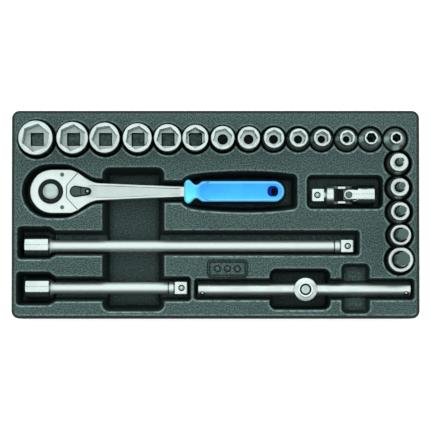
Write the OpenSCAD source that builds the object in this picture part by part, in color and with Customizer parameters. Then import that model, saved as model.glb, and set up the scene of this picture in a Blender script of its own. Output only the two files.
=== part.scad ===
// Socket wrench set, 9.5 mm square drive, in a moulded drawer tray.
// Frame: origin at the centre of the tray's underside, +X to the right along
// the long side, +Y towards the row of sockets, +Z up. Units are millimetres.

/* [Tray] */
// Length of the tray
tray_l = 310; // [300:1:320]
// Width of the tray
tray_w = 158; // [150:1:165]
// Height of the deck above the table
deck_z = 36; // [34:1:40]
// Wall thickness of the moulded shell
wall = 2; // [1.5:0.1:3]
// Thickness of the panel that closes the underside
base_t = 1.6; // [1:0.1:3]
// Radius of the tray's upright corners
tray_r = 5; // [3:0.5:8]
// Gap between a tool and the floor of its pocket
seat_gap = 0.2; // [0.1:0.1:0.5]
// Depth of the relief under the universal joint's cross, below the joint's axis
uj_relief = 9.4; // [9:0.1:11]

/* [Drive] */
// Size of the male drive square
drive_sq = 9.5; // [9.4:0.01:9.6]
// Size of the female drive square
female_sq = 9.7; // [9.6:0.01:9.9]
// Length of the male drive square
drive_len = 9.6; // [9:0.1:12]
// Radius of the balls that hold a socket on a drive square
ball_r = 1.6; // [1.2:0.1:2]
// Height that a ball stands out of its face
ball_proud = 0.6; // [0.3:0.1:0.8]
// Clearance around a moving shaft or ball
run_gap = 0.05; // [0.02:0.01:0.1]

/* [Sockets] */
// Overall length of a hexagon socket
socket_len = 28; // [26:0.5:32]
// Depth of the hexagon in a socket
hex_depth = 14.5; // [9:0.5:18]
// Depth of the square recess in a socket
square_depth = 11.5; // [10:0.5:13]
// Diameter of the drive end of a small socket
drive_end_d = 17.2; // [16:0.1:19]
// Height of the drive end of a small socket
drive_end_h = 14; // [11:0.5:18]
// Height of the cone between drive end and hexagon end
cone_h = 4.5; // [3:0.5:7]
// Side of the square pegs that hold the sockets in the tray
peg_sq = 9; // [7:0.1:9.2]
// Height of the pegs
peg_h = 10.5; // [6:0.5:11]

/* [Bit sockets] */
// Length of a bit holder
holder_len = 26; // [24:0.5:30]
// Length of bit that shows above its holder
bit_show = 22; // [15:0.5:30]
// Length of bit that is held in its holder
bit_grip = 9; // [6:0.5:12]

/* [Ratchet] */
// Position of the drive axis along X
rat_x = -126.3; // [-130:0.1:-120]
// Position of the ratchet's axis along Y
rat_y = 17.8; // [10:0.1:25]
// Thickness of the head
head_t = 15; // [12:0.5:18]
// Half width of the head
head_hw = 16.9; // [15:0.1:19]
// Thickness of the shank
shank_t = 8.6; // [7:0.1:11]
// Number of teeth on the ratchet wheel
teeth = 48; // [36:4:72]
// Angle that the reversing lever turns each way
lever_swing = 20; // [10:1:30]
// Length of the male square under the head
rat_drive_len = 11; // [10:0.5:12]
// Thickness of the grip
grip_t = 20; // [16:0.5:24]

/* [Extensions] */
// Length of the long extension bar
long_len = 252; // [240:1:260]
// Length of the short extension bar
short_len = 124; // [110:1:130]
// Diameter of the shaft of an extension bar
shaft_d = 9; // [8:0.1:11]
// Diameter of the female end of an extension bar
female_d = 17; // [16:0.1:19]

/* [Sliding T handle] */
// Length of the sliding bar
tbar_len = 163; // [150:1:175]
// Diameter of the sliding bar
tbar_d = 9; // [8:0.1:10]
// Diameter of the sliding head
thead_d = 18; // [16:0.1:20]

/* [Universal joint] */
// Diameter of the universal joint
uj_d = 15.7; // [15:0.1:18]
// Radius of the trunnions on the cross
trunnion_r = 2.3; // [2:0.1:3]

/* [Hidden] */
eps = 0.01;
socket_sizes = [for (i = [0:13]) 19 - i];
socket_x = [-136.8, -108.9, -84.4, -59.5, -36.5, -15.4, 5.4, 25.2, 44.3, 63.1, 81, 100, 118.2, 137.3];
socket_od = [26, 24, 23, 22, 20.7, 19.7, 17.9, 16.8, 15.4, 13.9, 12.8, 11.5, 10.1, 9];
socket_turn = [80, 84, 68, 82, 74, 90, 75, 0, 88, 75, 90, 80, 0, 90];
well_r = [14.9, 13.8, 13.4, 12.6, 12, 11.5, 10.7, 10.3, 10.2, 9.9, 9.9, 9.9, 9.9, 9.9];
socket_y = 57.8;
socket_floor = deck_z - 16;
bit_sizes = [4, 5, 6, 8, 10];
bit_x = [139.4, 139.8, 140.1, 140.5, 140.5];
bit_y = [39.3, 20.4, 2, -15.9, -34.7];
bit_face_d = [13.8, 13.8, 14, 15.6, 18.7];
bit_well_r = [10.7, 10.7, 10.7, 10.7, 11.7];
bit_turn = [60, 50, 15, 20, 30];

head_top = deck_z - 0.5;
head_bot = head_top - head_t;
cover_t = 2;
shank_z = head_bot + head_t / 2 + 0.2;
head_cx = rat_x + 1.1;
gear_tip = 11.4;
gear_root = 10.6;
ring_r = 9.3;
button_r = 6.1;
button_travel = 2;
lever_x = -107.2;
stem_r = 2.2;
pin_r = 2;
plunger_top = head_top - 5;
ball_z = head_bot - rat_drive_len + 4;
ball_off = drive_sq / 2 + ball_proud - ball_r;

long_x0 = -146.4;
long_y = -23.9;
short_x0 = -145.8;
short_y = -56;
bar_z = deck_z - 8.4;
tbar_x0 = -13.6;
tbar_y = -57.2;
tbar_z = deck_z - 6;
thead_x = 68.6;
thead_top = tbar_z + 9;
thead_bot = tbar_z - 8.5;
uj_x0 = 73.6;
uj_y = 15.2;
uj_z = deck_z - 8;
uj_c = 101.9;
uj_end = 121.8;

// ---- shared shapes ----

function corner(cx, cy, r, a) = [for (i = [0:5]) [cx + r * cos(a + 18 * i), cy + r * sin(a + 18 * i)]];

// A rectangle with rounded corners, grown by g on every side.
module round_rect(x0, x1, y0, y1, r, g = 0) {
    polygon(concat(
        corner(x1 - r, y1 - r, r + g, 0),
        corner(x0 + r, y1 - r, r + g, 90),
        corner(x0 + r, y0 + r, r + g, 180),
        corner(x1 - r, y0 + r, r + g, 270)
    ));
}

// Lathe work about the X axis, starting at x.
module lathe_x(x, y, z, points) {
    translate([x, y, z])
        rotate([0, 90, 0])
            rotate_extrude($fn = 64)
                polygon(points);
}

// A square bar with its long edges turned off round, standing on z = 0.
module drive_square(len, size = drive_sq) {
    intersection() {
        translate([-size / 2, -size / 2, 0])
            cube([size, size, len]);
        rotate_extrude($fn = 64)
            polygon([
                [0, 0], [size * 0.64, 0], [size * 0.64, len - 1.2], [size * 0.55, len], [0, len]
            ]);
    }
}

module hex_prism(across, h) {
    cylinder(r = across / sqrt(3), h = h, $fn = 6);
}

// ---- tray ----

// A pocket with straight sides; g grows it into the block its wall is cut from.
module box_well(x0, x1, y0, y1, r, floor_z, g) {
    translate([0, 0, floor_z - g])
        linear_extrude(deck_z - floor_z + (g > 0 ? g - wall / 2 : 1))
            round_rect(x0, x1, y0, y1, r, g);
}

module round_well(x, y, r, floor_z, g) {
    translate([x, y, floor_z - g])
        cylinder(r = r + g, h = deck_z - floor_z + (g > 0 ? g - wall / 2 : 1), $fn = 64);
}

module head_well(floor_z, g) {
    s = 20.4 + g;
    e = g;
    translate([0, rat_y + 0.2, floor_z - g])
        linear_extrude(deck_z - floor_z + (g > 0 ? g - wall / 2 : 1))
            polygon(concat(
                [for (a = [90:10:270]) [-127.6 + s * cos(a), s * sin(a)]],
                [[-110, -s + 0.3], [-99.9, -14.6 - e], [-94.6, -10.8 - e], [-84, -9.8 - e]],
                [[-84, 9.8 + e], [-94.6, 10.8 + e], [-99.9, 14.6 + e], [-110, s - 0.3]]
            ));
}

module grip_well(floor_z, g) {
    translate([0, rat_y - 0.2, floor_z - g])
        linear_extrude(deck_z - floor_z + (g > 0 ? g - wall / 2 : 1))
            polygon([
                [-26 - g, -8.4 - g], [-22, -12 - g], [-14, -13.6 - g], [5, -15.2 - g], [26, -15.7 - g],
                [45, -14.9 - g], [58.5, -13.4 - g], [61.5 + g, -11.5 - g], [62.4 + g, -8],
                [62.4 + g, 8], [61.5 + g, 11.5 + g], [58.5, 13.4 + g], [45, 14.9 + g],
                [26, 15.7 + g], [5, 15.2 + g], [-14, 13.6 + g], [-22, 12 + g], [-26 - g, 8.4 + g]
            ]);
}

module wells(g = 0) {
    for (i = [0:13])
        round_well(socket_x[i], socket_y, well_r[i], socket_floor, g);
    for (i = [0:4])
        round_well(bit_x[i], bit_y[i], bit_well_r[i], socket_floor, g);
    head_well(head_bot - seat_gap, g);
    round_well(rat_x, rat_y, 12, head_bot - rat_drive_len - 2, g);
    box_well(-90, -20, 9.3, 26.1, 1.5, shank_z - shank_t / 2 - 1, g);
    grip_well(shank_z - grip_t / 2 - seat_gap, g);
    box_well(-86.5, -39.5, -73.7, 36, 5.5, deck_z - 20, g);
    box_well(-151.5, -122.5, -33.9, -9.1, 4, bar_z - female_d / 2 - seat_gap, g);
    box_well(-125, 109.9, -31.1, -12.3, 2.5, bar_z - shaft_d / 2 - 0.8, g);
    box_well(-152.3, -122, -69.1, -43.8, 4, bar_z - female_d / 2 - seat_gap, g);
    box_well(-125, -19, -66, -47.5, 2.5, bar_z - shaft_d / 2 - 0.8, g);
    box_well(70, 127.7, 4.7, 30.1, 4, uj_z - uj_d / 2 - seat_gap, g);
    box_well(94, 111, 7.2, 23.2, 2, uj_z - uj_relief, g);
    box_well(-16.4, 151.6, -65.1, -49, 2.5, tbar_z - tbar_d / 2 - seat_gap, g);
    box_well(41.4, 87.4, -72.4, -41.6, 5, thead_bot - drive_len - 2, g);
    box_well(96.2, 117.6, -75.4, -37.6, 4, deck_z - 9, g);
}

// A plain oblong frame with three dots, raised on the deck.
module label_frame() {
    translate([0, 0, deck_z - 0.5])
        linear_extrude(1.3)
            difference() {
                round_rect(-6.3, 24.3, -48, -34.7, 3);
                round_rect(-6.3, 24.3, -48, -34.7, 3, -1.4);
            }
    for (x = [1.4, 9, 16.6])
        translate([x, -41.35, deck_z - 0.5])
            cylinder(r = 2.4, h = 1.3, $fn = 48);
}

module pegs() {
    for (i = [0:13])
        translate([socket_x[i] - peg_sq / 2, socket_y - peg_sq / 2, socket_floor - wall / 2])
            cube([peg_sq, peg_sq, peg_h + wall / 2]);
    for (i = [0:4])
        translate([bit_x[i] - peg_sq / 2, bit_y[i] - peg_sq / 2, socket_floor - wall / 2])
            cube([peg_sq, peg_sq, peg_h + wall / 2]);
}

module tray_shell() {
    color([0.26, 0.34, 0.32]) {
        difference() {
            union() {
                difference() {
                    translate([0, 0, base_t])
                        linear_extrude(deck_z - base_t)
                            round_rect(-tray_l / 2, tray_l / 2, -tray_w / 2, tray_w / 2, tray_r);
                    translate([0, 0, base_t - 1])
                        linear_extrude(deck_z - base_t + 1 - wall)
                            round_rect(-tray_l / 2, tray_l / 2, -tray_w / 2, tray_w / 2, tray_r, -wall);
                }
                wells(wall);
            }
            wells();
        }
        pegs();
        label_frame();
    }
}

module tray_base() {
    color([0.2, 0.26, 0.25])
        linear_extrude(base_t)
            round_rect(-tray_l / 2, tray_l / 2, -tray_w / 2, tray_w / 2, tray_r);
}

// ---- hexagon sockets ----

module hex_socket(i) {
    af = socket_sizes[i];
    r = socket_od[i] / 2;
    rd = drive_end_d / 2;
    bored = af < 14;
    necked = socket_od[i] < drive_end_d;
    translate([socket_x[i], socket_y, socket_floor + seat_gap])
        difference() {
            rotate_extrude($fn = 96)
                polygon(necked
                    ? [
                        [0, 0], [rd - 0.7, 0], [rd, 0.7], [rd, drive_end_h - 0.5],
                        [rd - 0.5, drive_end_h], [r + 0.2, drive_end_h + cone_h],
                        [r, drive_end_h + cone_h + 0.6], [r, socket_len - 0.5],
                        [r - 0.5, socket_len], [0, socket_len]
                    ]
                    : [
                        [0, 0], [r - 0.8, 0], [r, 0.8], [r, socket_len - 0.6],
                        [r - 0.6, socket_len], [0, socket_len]
                    ]);
            translate([0, 0, socket_len - hex_depth])
                rotate([0, 0, socket_turn[i]])
                    hex_prism(af + 0.1, hex_depth + 1);
            translate([0, 0, socket_len - 0.6])
                cylinder(r1 = af / 2, r2 = af / sqrt(3) + 0.35, h = 0.62, $fn = 96);
            translate([-female_sq / 2, -female_sq / 2, -1])
                cube([female_sq, female_sq, (bored ? square_depth : socket_len - hex_depth) + 1.01]);
            if (bored)
                cylinder(r = af * 0.3, h = socket_len, $fn = 64);
        }
}

module chrome_socket(i) {
    color([0.8, 0.82, 0.82])
        hex_socket(i);
}

// ---- bit sockets ----

module bit_holder(i) {
    af = bit_sizes[i];
    rd = max(drive_end_d, bit_face_d[i]) / 2;
    rf = bit_face_d[i] / 2;
    color([0.75, 0.77, 0.77])
        translate([bit_x[i], bit_y[i], socket_floor + seat_gap])
            difference() {
                rotate_extrude($fn = 96)
                    polygon(rd > rf
                        ? [
                            [0, 0], [rd - 0.7, 0], [rd, 0.7], [rd, drive_end_h],
                            [rf, drive_end_h + 3], [rf, holder_len - 0.5], [rf - 0.5, holder_len], [0, holder_len]
                        ]
                        : [
                            [0, 0], [rd - 0.7, 0], [rd, 0.7], [rd, holder_len - 0.5],
                            [rd - 0.5, holder_len], [0, holder_len]
                        ]);
                translate([-female_sq / 2, -female_sq / 2, -1])
                    cube([female_sq, female_sq, square_depth + 1]);
                translate([0, 0, holder_len - 1])
                    cylinder(r = af / sqrt(3) + 0.9, h = 2, $fn = 64);
                translate([0, 0, holder_len - bit_grip])
                    rotate([0, 0, bit_turn[i]])
                        hex_prism(af, bit_grip + 1);
            }
}

module hex_bit(i) {
    af = bit_sizes[i];
    len = bit_grip + bit_show;
    rt = af / sqrt(3);
    color([0.22, 0.23, 0.24])
        translate([bit_x[i], bit_y[i], socket_floor + seat_gap + holder_len - bit_grip])
            intersection() {
                rotate([0, 0, bit_turn[i]])
                    hex_prism(af, len);
                rotate_extrude($fn = 64)
                    polygon([[0, 0], [rt + 1, 0], [rt + 1, len - 1], [af / 2 - 0.3, len], [0, len]]);
            }
}

// ---- ratchet ----

module head_outline() {
    translate([0, rat_y])
        polygon(concat(
            [for (i = [0:48]) [head_cx - head_hw * sin(i * 3.75), head_hw * cos(i * 3.75)]],
            [
                [-113, -head_hw], [-109.2, -16.3], [-105.3, -14.4], [-100, -11], [-96, -8.6], [-93, -7.5],
                [-90, -6.9], [-22, -4.1], [-22, 4.1], [-90, 6.9], [-93, 7.5], [-96, 8.6], [-100, 11],
                [-105.3, 14.4], [-109.2, 16.3], [-113, head_hw]
            ]
        ));
}

// The area left of the bent joint line, moved right by d.
module cover_area(d) {
    translate([d, rat_y])
        polygon([
            [-150, 20], [-100.4, 20], [-113.9, 5.2], [-114.4, 4], [-114.4, -4], [-113.9, -5.2],
            [-100.4, -20], [-150, -20]
        ]);
}

module ratchet_body() {
    color([0.82, 0.84, 0.83])
        difference() {
            intersection() {
                translate([0, 0, head_bot])
                    linear_extrude(head_t)
                        head_outline();
                translate([0, rat_y + 30, 0])
                    rotate([90, 0, 0])
                        linear_extrude(60)
                            polygon([
                                [-150, head_bot - 1], [-150, head_top + 1], [-104, head_top + 1],
                                [-103.5, head_top - 0.1], [-93, shank_z + shank_t / 2 + 0.4],
                                [-20, shank_z + shank_t / 2], [-20, shank_z - shank_t / 2],
                                [-93, shank_z - shank_t / 2 - 0.4], [-102, head_bot], [-103, head_bot - 1]
                            ]);
            }
            // step for the cover plate
            translate([0, 0, head_top - cover_t])
                linear_extrude(cover_t + 2)
                    cover_area(0.3);
            // wheel chamber and the hole under it
            translate([rat_x, rat_y, head_bot + cover_t])
                cylinder(r = gear_tip + 0.6, h = head_t, $fn = 96);
            translate([rat_x, rat_y, head_bot - 1])
                cylinder(r = 8 + run_gap, h = 6, $fn = 96);
            // pawl chamber
            translate([-116.5, rat_y - 8.2, head_bot + 3.4])
                cube([13.4, 16.4, 7.4]);
            // hole for the lever's stem
            translate([lever_x, rat_y, head_bot + 5])
                cylinder(r = stem_r + run_gap, h = head_t, $fn = 64);
            // threaded holes for the cover screws
            for (s = [[-117.5, 12.9], [-117.5, -12.1]])
                translate([s[0], rat_y + s[1], head_top - 7])
                    cylinder(r = 1, h = 8, $fn = 48);
            // shallow panel on the shank
            translate([-88, rat_y, shank_z + shank_t / 2 - 0.25])
                linear_extrude(3)
                    polygon([[0, 4.9], [60, 2.7], [61.5, 1.6], [61.5, -1.6], [60, -2.7], [0, -4.9]]);
        }
}

module ratchet_cover() {
    color([0.84, 0.86, 0.85])
        difference() {
            translate([0, 0, head_top - cover_t])
                linear_extrude(cover_t)
                    intersection() {
                        head_outline();
                        cover_area(0);
                    }
            translate([rat_x, rat_y, 0])
                cylinder(r = ring_r + run_gap, h = 60, $fn = 96);
            for (s = [[-117.5, 12.9], [-117.5, -12.1]])
                translate([s[0], rat_y + s[1], 0])
                    cylinder(r = 1.55, h = 60, $fn = 48);
        }
}

module cover_screws() {
    color([0.5, 0.52, 0.52])
        for (s = [[-117.5, 12.9], [-117.5, -12.1]])
            translate([s[0], rat_y + s[1], 0])
                difference() {
                    union() {
                        translate([0, 0, head_top - cover_t])
                            cylinder(r = 1.5, h = cover_t - 0.1, $fn = 48);
                        translate([0, 0, head_top - 6.5])
                            cylinder(r = 0.95, h = 5, $fn = 48);
                    }
                    translate([0, 0, head_top - 0.9])
                        hex_prism(1.5, 2);
                }
}

module drive_gear() {
    color([0.55, 0.57, 0.57])
        translate([rat_x, rat_y, 0])
            difference() {
                union() {
                    translate([0, 0, head_bot + cover_t + 0.2])
                        linear_extrude(head_t - 2 * cover_t - 0.4)
                            polygon([
                                for (i = [0:2 * teeth - 1])
                                    [
                                        (i % 2 == 0 ? gear_tip : gear_root) * cos(i * 180 / teeth),
                                        (i % 2 == 0 ? gear_tip : gear_root) * sin(i * 180 / teeth)
                                    ]
                            ]);
                    translate([0, 0, head_bot - 0.3])
                        cylinder(r = 8, h = 4, $fn = 96);
                    translate([0, 0, head_bot])
                        mirror([0, 0, 1])
                            drive_square(rat_drive_len);
                }
                // chamber for the button and its spring
                translate([0, 0, plunger_top - 2.2])
                    cylinder(r = button_r + run_gap, h = 20, $fn = 96);
                // bore for the plunger
                translate([0, 0, ball_z - 6 + eps])
                    cylinder(r = pin_r + run_gap, h = 40, $fn = 64);
                // cross hole for the ball
                translate([0, 0, ball_z])
                    rotate([90, 0, 0])
                        cylinder(r = ball_r + run_gap, h = 12, $fn = 64);
            }
}

module dial_ring() {
    color([0.08, 0.08, 0.09])
        translate([rat_x, rat_y, head_top - cover_t - 0.2])
            difference() {
                cylinder(r = ring_r, h = cover_t + 0.5, $fn = 96);
                translate([0, 0, -1])
                    cylinder(r = button_r + run_gap, h = cover_t + 4, $fn = 96);
            }
}

module release_button() {
    color([0.82, 0.84, 0.83])
        translate([rat_x, rat_y, 0])
            rotate_extrude($fn = 96)
                polygon([
                    [0, ball_z - 3.6], [pin_r, ball_z - 3.6], [pin_r, ball_z + 0.08],
                    [1.2, ball_z + 0.6], [1.2, ball_z + 3.6], [pin_r, ball_z + 4.2],
                    [pin_r, plunger_top], [button_r - 0.1, plunger_top], [button_r - 0.1, head_top + 0.3],
                    [5.2, head_top + 1.1], [3.6, head_top + 1.7], [1.8, head_top + 2], [0, head_top + 2.1]
                ]);
}

module drive_ball() {
    color([0.7, 0.72, 0.72])
        translate([rat_x, rat_y - ball_off, ball_z])
            sphere(r = ball_r, $fn = 48);
}

module reversing_lever() {
    color([0.12, 0.13, 0.14])
        translate([lever_x, rat_y, 0])
            difference() {
                union() {
                    translate([0, 0, head_top + 0.15])
                        cylinder(r = 4.4, h = 2.6, $fn = 96);
                    translate([0, 0, head_top + 0.15])
                        linear_extrude(1.9)
                            polygon([[0, 4.3], [9.4, 2.9], [9.4, -2.9], [0, -4.3]]);
                    translate([9.2, 0, head_top + 0.15])
                        cylinder(r = 3, h = 1.9, $fn = 64);
                    translate([0, 0, head_bot + 5.2])
                        cylinder(r = stem_r, h = head_t - 4.5, $fn = 64);
                }
                translate([9.2, 0, head_top + 0.8])
                    cylinder(r = 0.9, h = 4, $fn = 48);
            }
}

module lever_pin() {
    color([0.6, 0.62, 0.62])
        translate([lever_x + 9.2, rat_y, head_top + 0.8])
            cylinder(r = 0.9, h = 2, $fn = 48);
}

module pawl() {
    d = lever_x - rat_x;
    color([0.4, 0.41, 0.42])
        translate([lever_x, rat_y, head_bot + 3.7])
            difference() {
                linear_extrude(6.8)
                    polygon(concat(
                        [for (a = [-34:4:34]) [-d + 12.15 * cos(a), 12.15 * sin(a)]],
                        [[-6, 7], [3.4, 3.4], [3.4, -3.4], [-6, -7]]
                    ));
                translate([0, 0, -1])
                    cylinder(r = stem_r + run_gap, h = 10, $fn = 64);
            }
}

module grip_outline() {
    translate([0, rat_y])
        polygon(concat(
            [for (i = [0:30]) [44.8 + 7.8 * sin(i * 6), 7.8 * cos(i * 6)]],
            [
                [-9.8, -7.8], [-11.2, -7.4], [-12.2, -6.5], [-13.6, -5.4], [-15, -5.2], [-16.3, -5.6],
                [-17.7, -6.7], [-19.6, -8.6], [-21, -9.1], [-22.5, -8.6], [-23.6, -7.4], [-24.2, -5.6],
                [-24.2, 5.6], [-23.6, 7.4], [-22.5, 8.6], [-21, 9.1], [-19.6, 8.6], [-17.7, 6.7],
                [-16.3, 5.6], [-15, 5.2], [-13.6, 5.4], [-12.2, 6.5], [-11.2, 7.4], [-9.8, 7.8]
            ]
        ));
}

module grip_side_profile(t) {
    h = t / 2;
    translate([0, rat_y + 20, shank_z])
        rotate([90, 0, 0])
            linear_extrude(40)
                polygon([
                    [-25, 6], [-23, 7.6], [-20.5, 7.8], [-16.5, 6.4], [-13.5, 6.6], [-10, h - 1.6],
                    [-4, h - 0.4], [6, h], [34, h], [44, h - 0.8], [49, h - 2], [52, h - 4], [54, h - 7],
                    [54, 7 - h], [52, 4 - h], [49, 2 - h], [44, 0.8 - h], [34, -h], [6, -h],
                    [-4, 0.4 - h], [-10, 1.6 - h], [-13.5, -6.6], [-16.5, -6.4], [-20.5, -7.8],
                    [-23, -7.6], [-25, -6]
                ]);
}

module hanging_hole() {
    linear_extrude(60)
        round_rect(42.6, 47.8, rat_y - 2.6, rat_y + 2.6, 1.4);
    translate([0, 0, shank_z + grip_t / 2 - 5])
        linear_extrude(20)
            round_rect(39.6, 47.8, rat_y - 4, rat_y + 4, 3.2);
}

module grip_core() {
    color([0.2, 0.55, 0.95])
        difference() {
            intersection() {
                translate([0, 0, shank_z - grip_t / 2])
                    linear_extrude(grip_t)
                        grip_outline();
                grip_side_profile(grip_t);
            }
            // the tang of the shank
            translate([-30, rat_y - 4.4, shank_z - shank_t / 2 - 0.1])
                cube([20, 8.8, shank_t + 0.2]);
            hanging_hole();
        }
}

module grip_sides() {
    color([0.06, 0.12, 0.24])
        difference() {
            intersection() {
                translate([0, 0, shank_z - 7.4])
                    linear_extrude(14.8)
                        round_rect(-17.8, 54, rat_y - 9.4, rat_y + 9.4, 9.2);
                grip_side_profile(grip_t - 1.6);
            }
            translate([0, 0, shank_z - grip_t])
                linear_extrude(2 * grip_t)
                    grip_outline();
        }
}

// ---- extension bars ----

module extension(x0, y, len) {
    rs = shaft_d / 2;
    rf = female_d / 2;
    color([0.8, 0.82, 0.82])
        difference() {
            union() {
                lathe_x(x0, y, bar_z, [
                    [0, 0], [rf - 0.6, 0], [rf, 0.6], [rf, 17.6], [rf - 0.5, 18.2],
                    [rs + 0.6, 22.2], [rs, 23.2],
                    [rs, len - 15.2], [rs - 0.3, len - 14.9], [rs - 0.3, len - 14.3], [rs + 0.45, len - 13.9],
                    [rs + 0.45, len - 10.4], [rs - 0.3, len - 10.1], [rs - 0.3, len - 8], [0, len - 8]
                ]);
                translate([x0 + len - drive_len, y, bar_z])
                    rotate([0, 90, 0])
                        drive_square(drive_len);
            }
            translate([x0 - 1, y - female_sq / 2, bar_z - female_sq / 2])
                cube([12, female_sq, female_sq]);
            translate([x0 + len - 4.4, y, bar_z])
                cylinder(r = ball_r + run_gap, h = 8, $fn = 64);
        }
}

module extension_ball(x0, y, len) {
    color([0.7, 0.72, 0.72])
        translate([x0 + len - 4.4, y, bar_z + ball_off])
            sphere(r = ball_r, $fn = 48);
}

// ---- universal joint ----

module uj_drive_yoke() {
    r = uj_d / 2;
    color([0.78, 0.8, 0.8])
        difference() {
            union() {
                translate([uj_x0 + drive_len, uj_y, uj_z])
                    rotate([0, -90, 0])
                        drive_square(drive_len);
                lathe_x(uj_x0 + drive_len - 1, uj_y, uj_z, [
                    [0, 0], [4.5, 0], [4.5, 2.6], [r - 0.5, 2.6], [r, 3.1], [r, 8.9], [0, 8.9]
                ]);
                intersection() {
                    lathe_x(uj_c - 12, uj_y, uj_z, [[0, 0], [r, 0], [r, 16.3], [0, 16.3]]);
                    translate([uj_c, uj_y + 20, uj_z])
                        rotate([90, 0, 0])
                            linear_extrude(40)
                                union() {
                                    circle(r = 4.4, $fn = 64);
                                    translate([-12, -4.4])
                                        square([12, 8.8]);
                                }
                }
            }
            // the gap between the ears
            translate([uj_c - 9.8, uj_y - 4.6, uj_z - 10])
                cube([20, 9.2, 20]);
            translate([uj_c, uj_y + 20, uj_z])
                rotate([90, 0, 0])
                    cylinder(r = trunnion_r + run_gap, h = 40, $fn = 64);
            translate([uj_x0 + 4.4, uj_y, uj_z])
                cylinder(r = ball_r + run_gap, h = 8, $fn = 64);
        }
}

module uj_ball() {
    color([0.7, 0.72, 0.72])
        translate([uj_x0 + 4.4, uj_y, uj_z + ball_off])
            sphere(r = ball_r, $fn = 48);
}

module uj_cross() {
    color([0.35, 0.37, 0.37])
        translate([uj_c, uj_y, uj_z]) {
            translate([-4.2, -4.2, -4.2])
                cube([8.4, 8.4, 8.4]);
            translate([0, 0, -7.4])
                cylinder(r = trunnion_r, h = 14.8, $fn = 64);
            rotate([90, 0, 0])
                translate([0, 0, -7.4])
                    cylinder(r = trunnion_r, h = 14.8, $fn = 64);
        }
}

module uj_socket_yoke() {
    r = uj_d / 2;
    color([0.8, 0.82, 0.82])
        difference() {
            union() {
                lathe_x(uj_c + 9.6, uj_y, uj_z, [
                    [0, 0], [r, 0], [r, uj_end - uj_c - 10.2], [r - 0.6, uj_end - uj_c - 9.6], [0, uj_end - uj_c - 9.6]
                ]);
                intersection() {
                    lathe_x(uj_c - 5, uj_y, uj_z, [[0, 0], [r, 0], [r, 16], [0, 16]]);
                    translate([uj_c, uj_y, uj_z - 10])
                        linear_extrude(20)
                            union() {
                                circle(r = 4.3, $fn = 64);
                                translate([0, -4.3])
                                    square([11, 8.6]);
                            }
                }
            }
            // the gap between the ears
            translate([uj_c - 10, uj_y - 10, uj_z - 4.6])
                cube([19.4, 20, 9.2]);
            translate([uj_c, uj_y, uj_z - 10])
                cylinder(r = trunnion_r + run_gap, h = 20, $fn = 64);
            translate([uj_end - 9, uj_y - female_sq / 2, uj_z - female_sq / 2])
                cube([12, female_sq, female_sq]);
        }
}

// ---- sliding T handle ----

module end_ball_at(x, r, d) {
    translate([x, tbar_y, tbar_z])
        rotate([45, 0, 0])
            translate([0, 0, d])
                sphere(r = r, $fn = 48);
}

module t_bar() {
    r = tbar_d / 2;
    color([0.8, 0.82, 0.82])
        difference() {
            lathe_x(tbar_x0, tbar_y, tbar_z, [
                [0, 0], [r - 0.8, 0], [r, 0.8], [r, tbar_len - 0.8], [r - 0.8, tbar_len], [0, tbar_len]
            ]);
            for (x = [tbar_x0 + 3.4, tbar_x0 + tbar_len - 3.6])
                translate([x, tbar_y, tbar_z])
                    rotate([45, 0, 0])
                        cylinder(r = 1.5, h = 8, $fn = 64);
        }
}

module t_end_balls() {
    color([0.7, 0.72, 0.72])
        for (x = [tbar_x0 + 3.4, tbar_x0 + tbar_len - 3.6])
            end_ball_at(x, 1.5, tbar_d / 2 - 0.9);
}

module t_slider() {
    r = thead_d / 2;
    color([0.8, 0.82, 0.82])
        translate([thead_x, tbar_y, 0])
            difference() {
                union() {
                    translate([0, 0, thead_bot])
                        rotate_extrude($fn = 96)
                            polygon([
                                [0, 0], [r - 2.4, 0], [r - 0.4, 2], [r, 2.6], [r, 14], [r - 0.5, 14.8],
                                [5.9, 17.2], [5.4, 17.5], [0, 17.5]
                            ]);
                    translate([0, 0, thead_bot])
                        mirror([0, 0, 1])
                            drive_square(drive_len);
                }
                translate([-20, 0, tbar_z])
                    rotate([0, 90, 0])
                        cylinder(r = tbar_d / 2 + run_gap, h = 40, $fn = 96);
                // screw recess over the bar
                translate([0, 0, tbar_z + tbar_d / 2 + 0.6])
                    cylinder(r = 4.2, h = 10, $fn = 64);
                translate([0, 0, thead_bot - drive_len + 4.4])
                    rotate([90, 0, 0])
                        cylinder(r = ball_r + run_gap, h = 12, $fn = 64);
            }
}

module t_cap() {
    color([0.84, 0.86, 0.85])
        translate([thead_x, tbar_y, tbar_z + tbar_d / 2 + 0.6])
            difference() {
                rotate_extrude($fn = 96)
                    polygon([[0, 0], [4.2, 0], [4.2, 2.4], [3, 2.6], [2.6, 3.2], [1.4, 3.6], [0, 3.7]]);
                translate([-2.2, -0.3, 3])
                    cube([4.4, 0.6, 2]);
            }
}

module t_ball() {
    color([0.7, 0.72, 0.72])
        translate([thead_x, tbar_y - ball_off, thead_bot - drive_len + 4.4])
            sphere(r = ball_r, $fn = 48);
}

// ---- nodes ----

tray_shell();
tray_base();
chrome_socket(0);  // socket_19
chrome_socket(1);  // socket_18
chrome_socket(2);  // socket_17
chrome_socket(3);  // socket_16
chrome_socket(4);  // socket_15
chrome_socket(5);  // socket_14
chrome_socket(6);  // socket_13
chrome_socket(7);  // socket_12
chrome_socket(8);  // socket_11
chrome_socket(9);  // socket_10
chrome_socket(10);  // socket_09
chrome_socket(11);  // socket_08
chrome_socket(12);  // socket_07
chrome_socket(13);  // socket_06
bit_holder(0);  // holder_04
hex_bit(0);  // bit_04
bit_holder(1);  // holder_05
hex_bit(1);  // bit_05
bit_holder(2);  // holder_06
hex_bit(2);  // bit_06
bit_holder(3);  // holder_08
hex_bit(3);  // bit_08
bit_holder(4);  // holder_10
hex_bit(4);  // bit_10
ratchet_body();
ratchet_cover();
cover_screws();
drive_gear();
dial_ring();
release_button();
drive_ball();
reversing_lever();
lever_pin();
pawl();
grip_core();
grip_sides();
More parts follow.
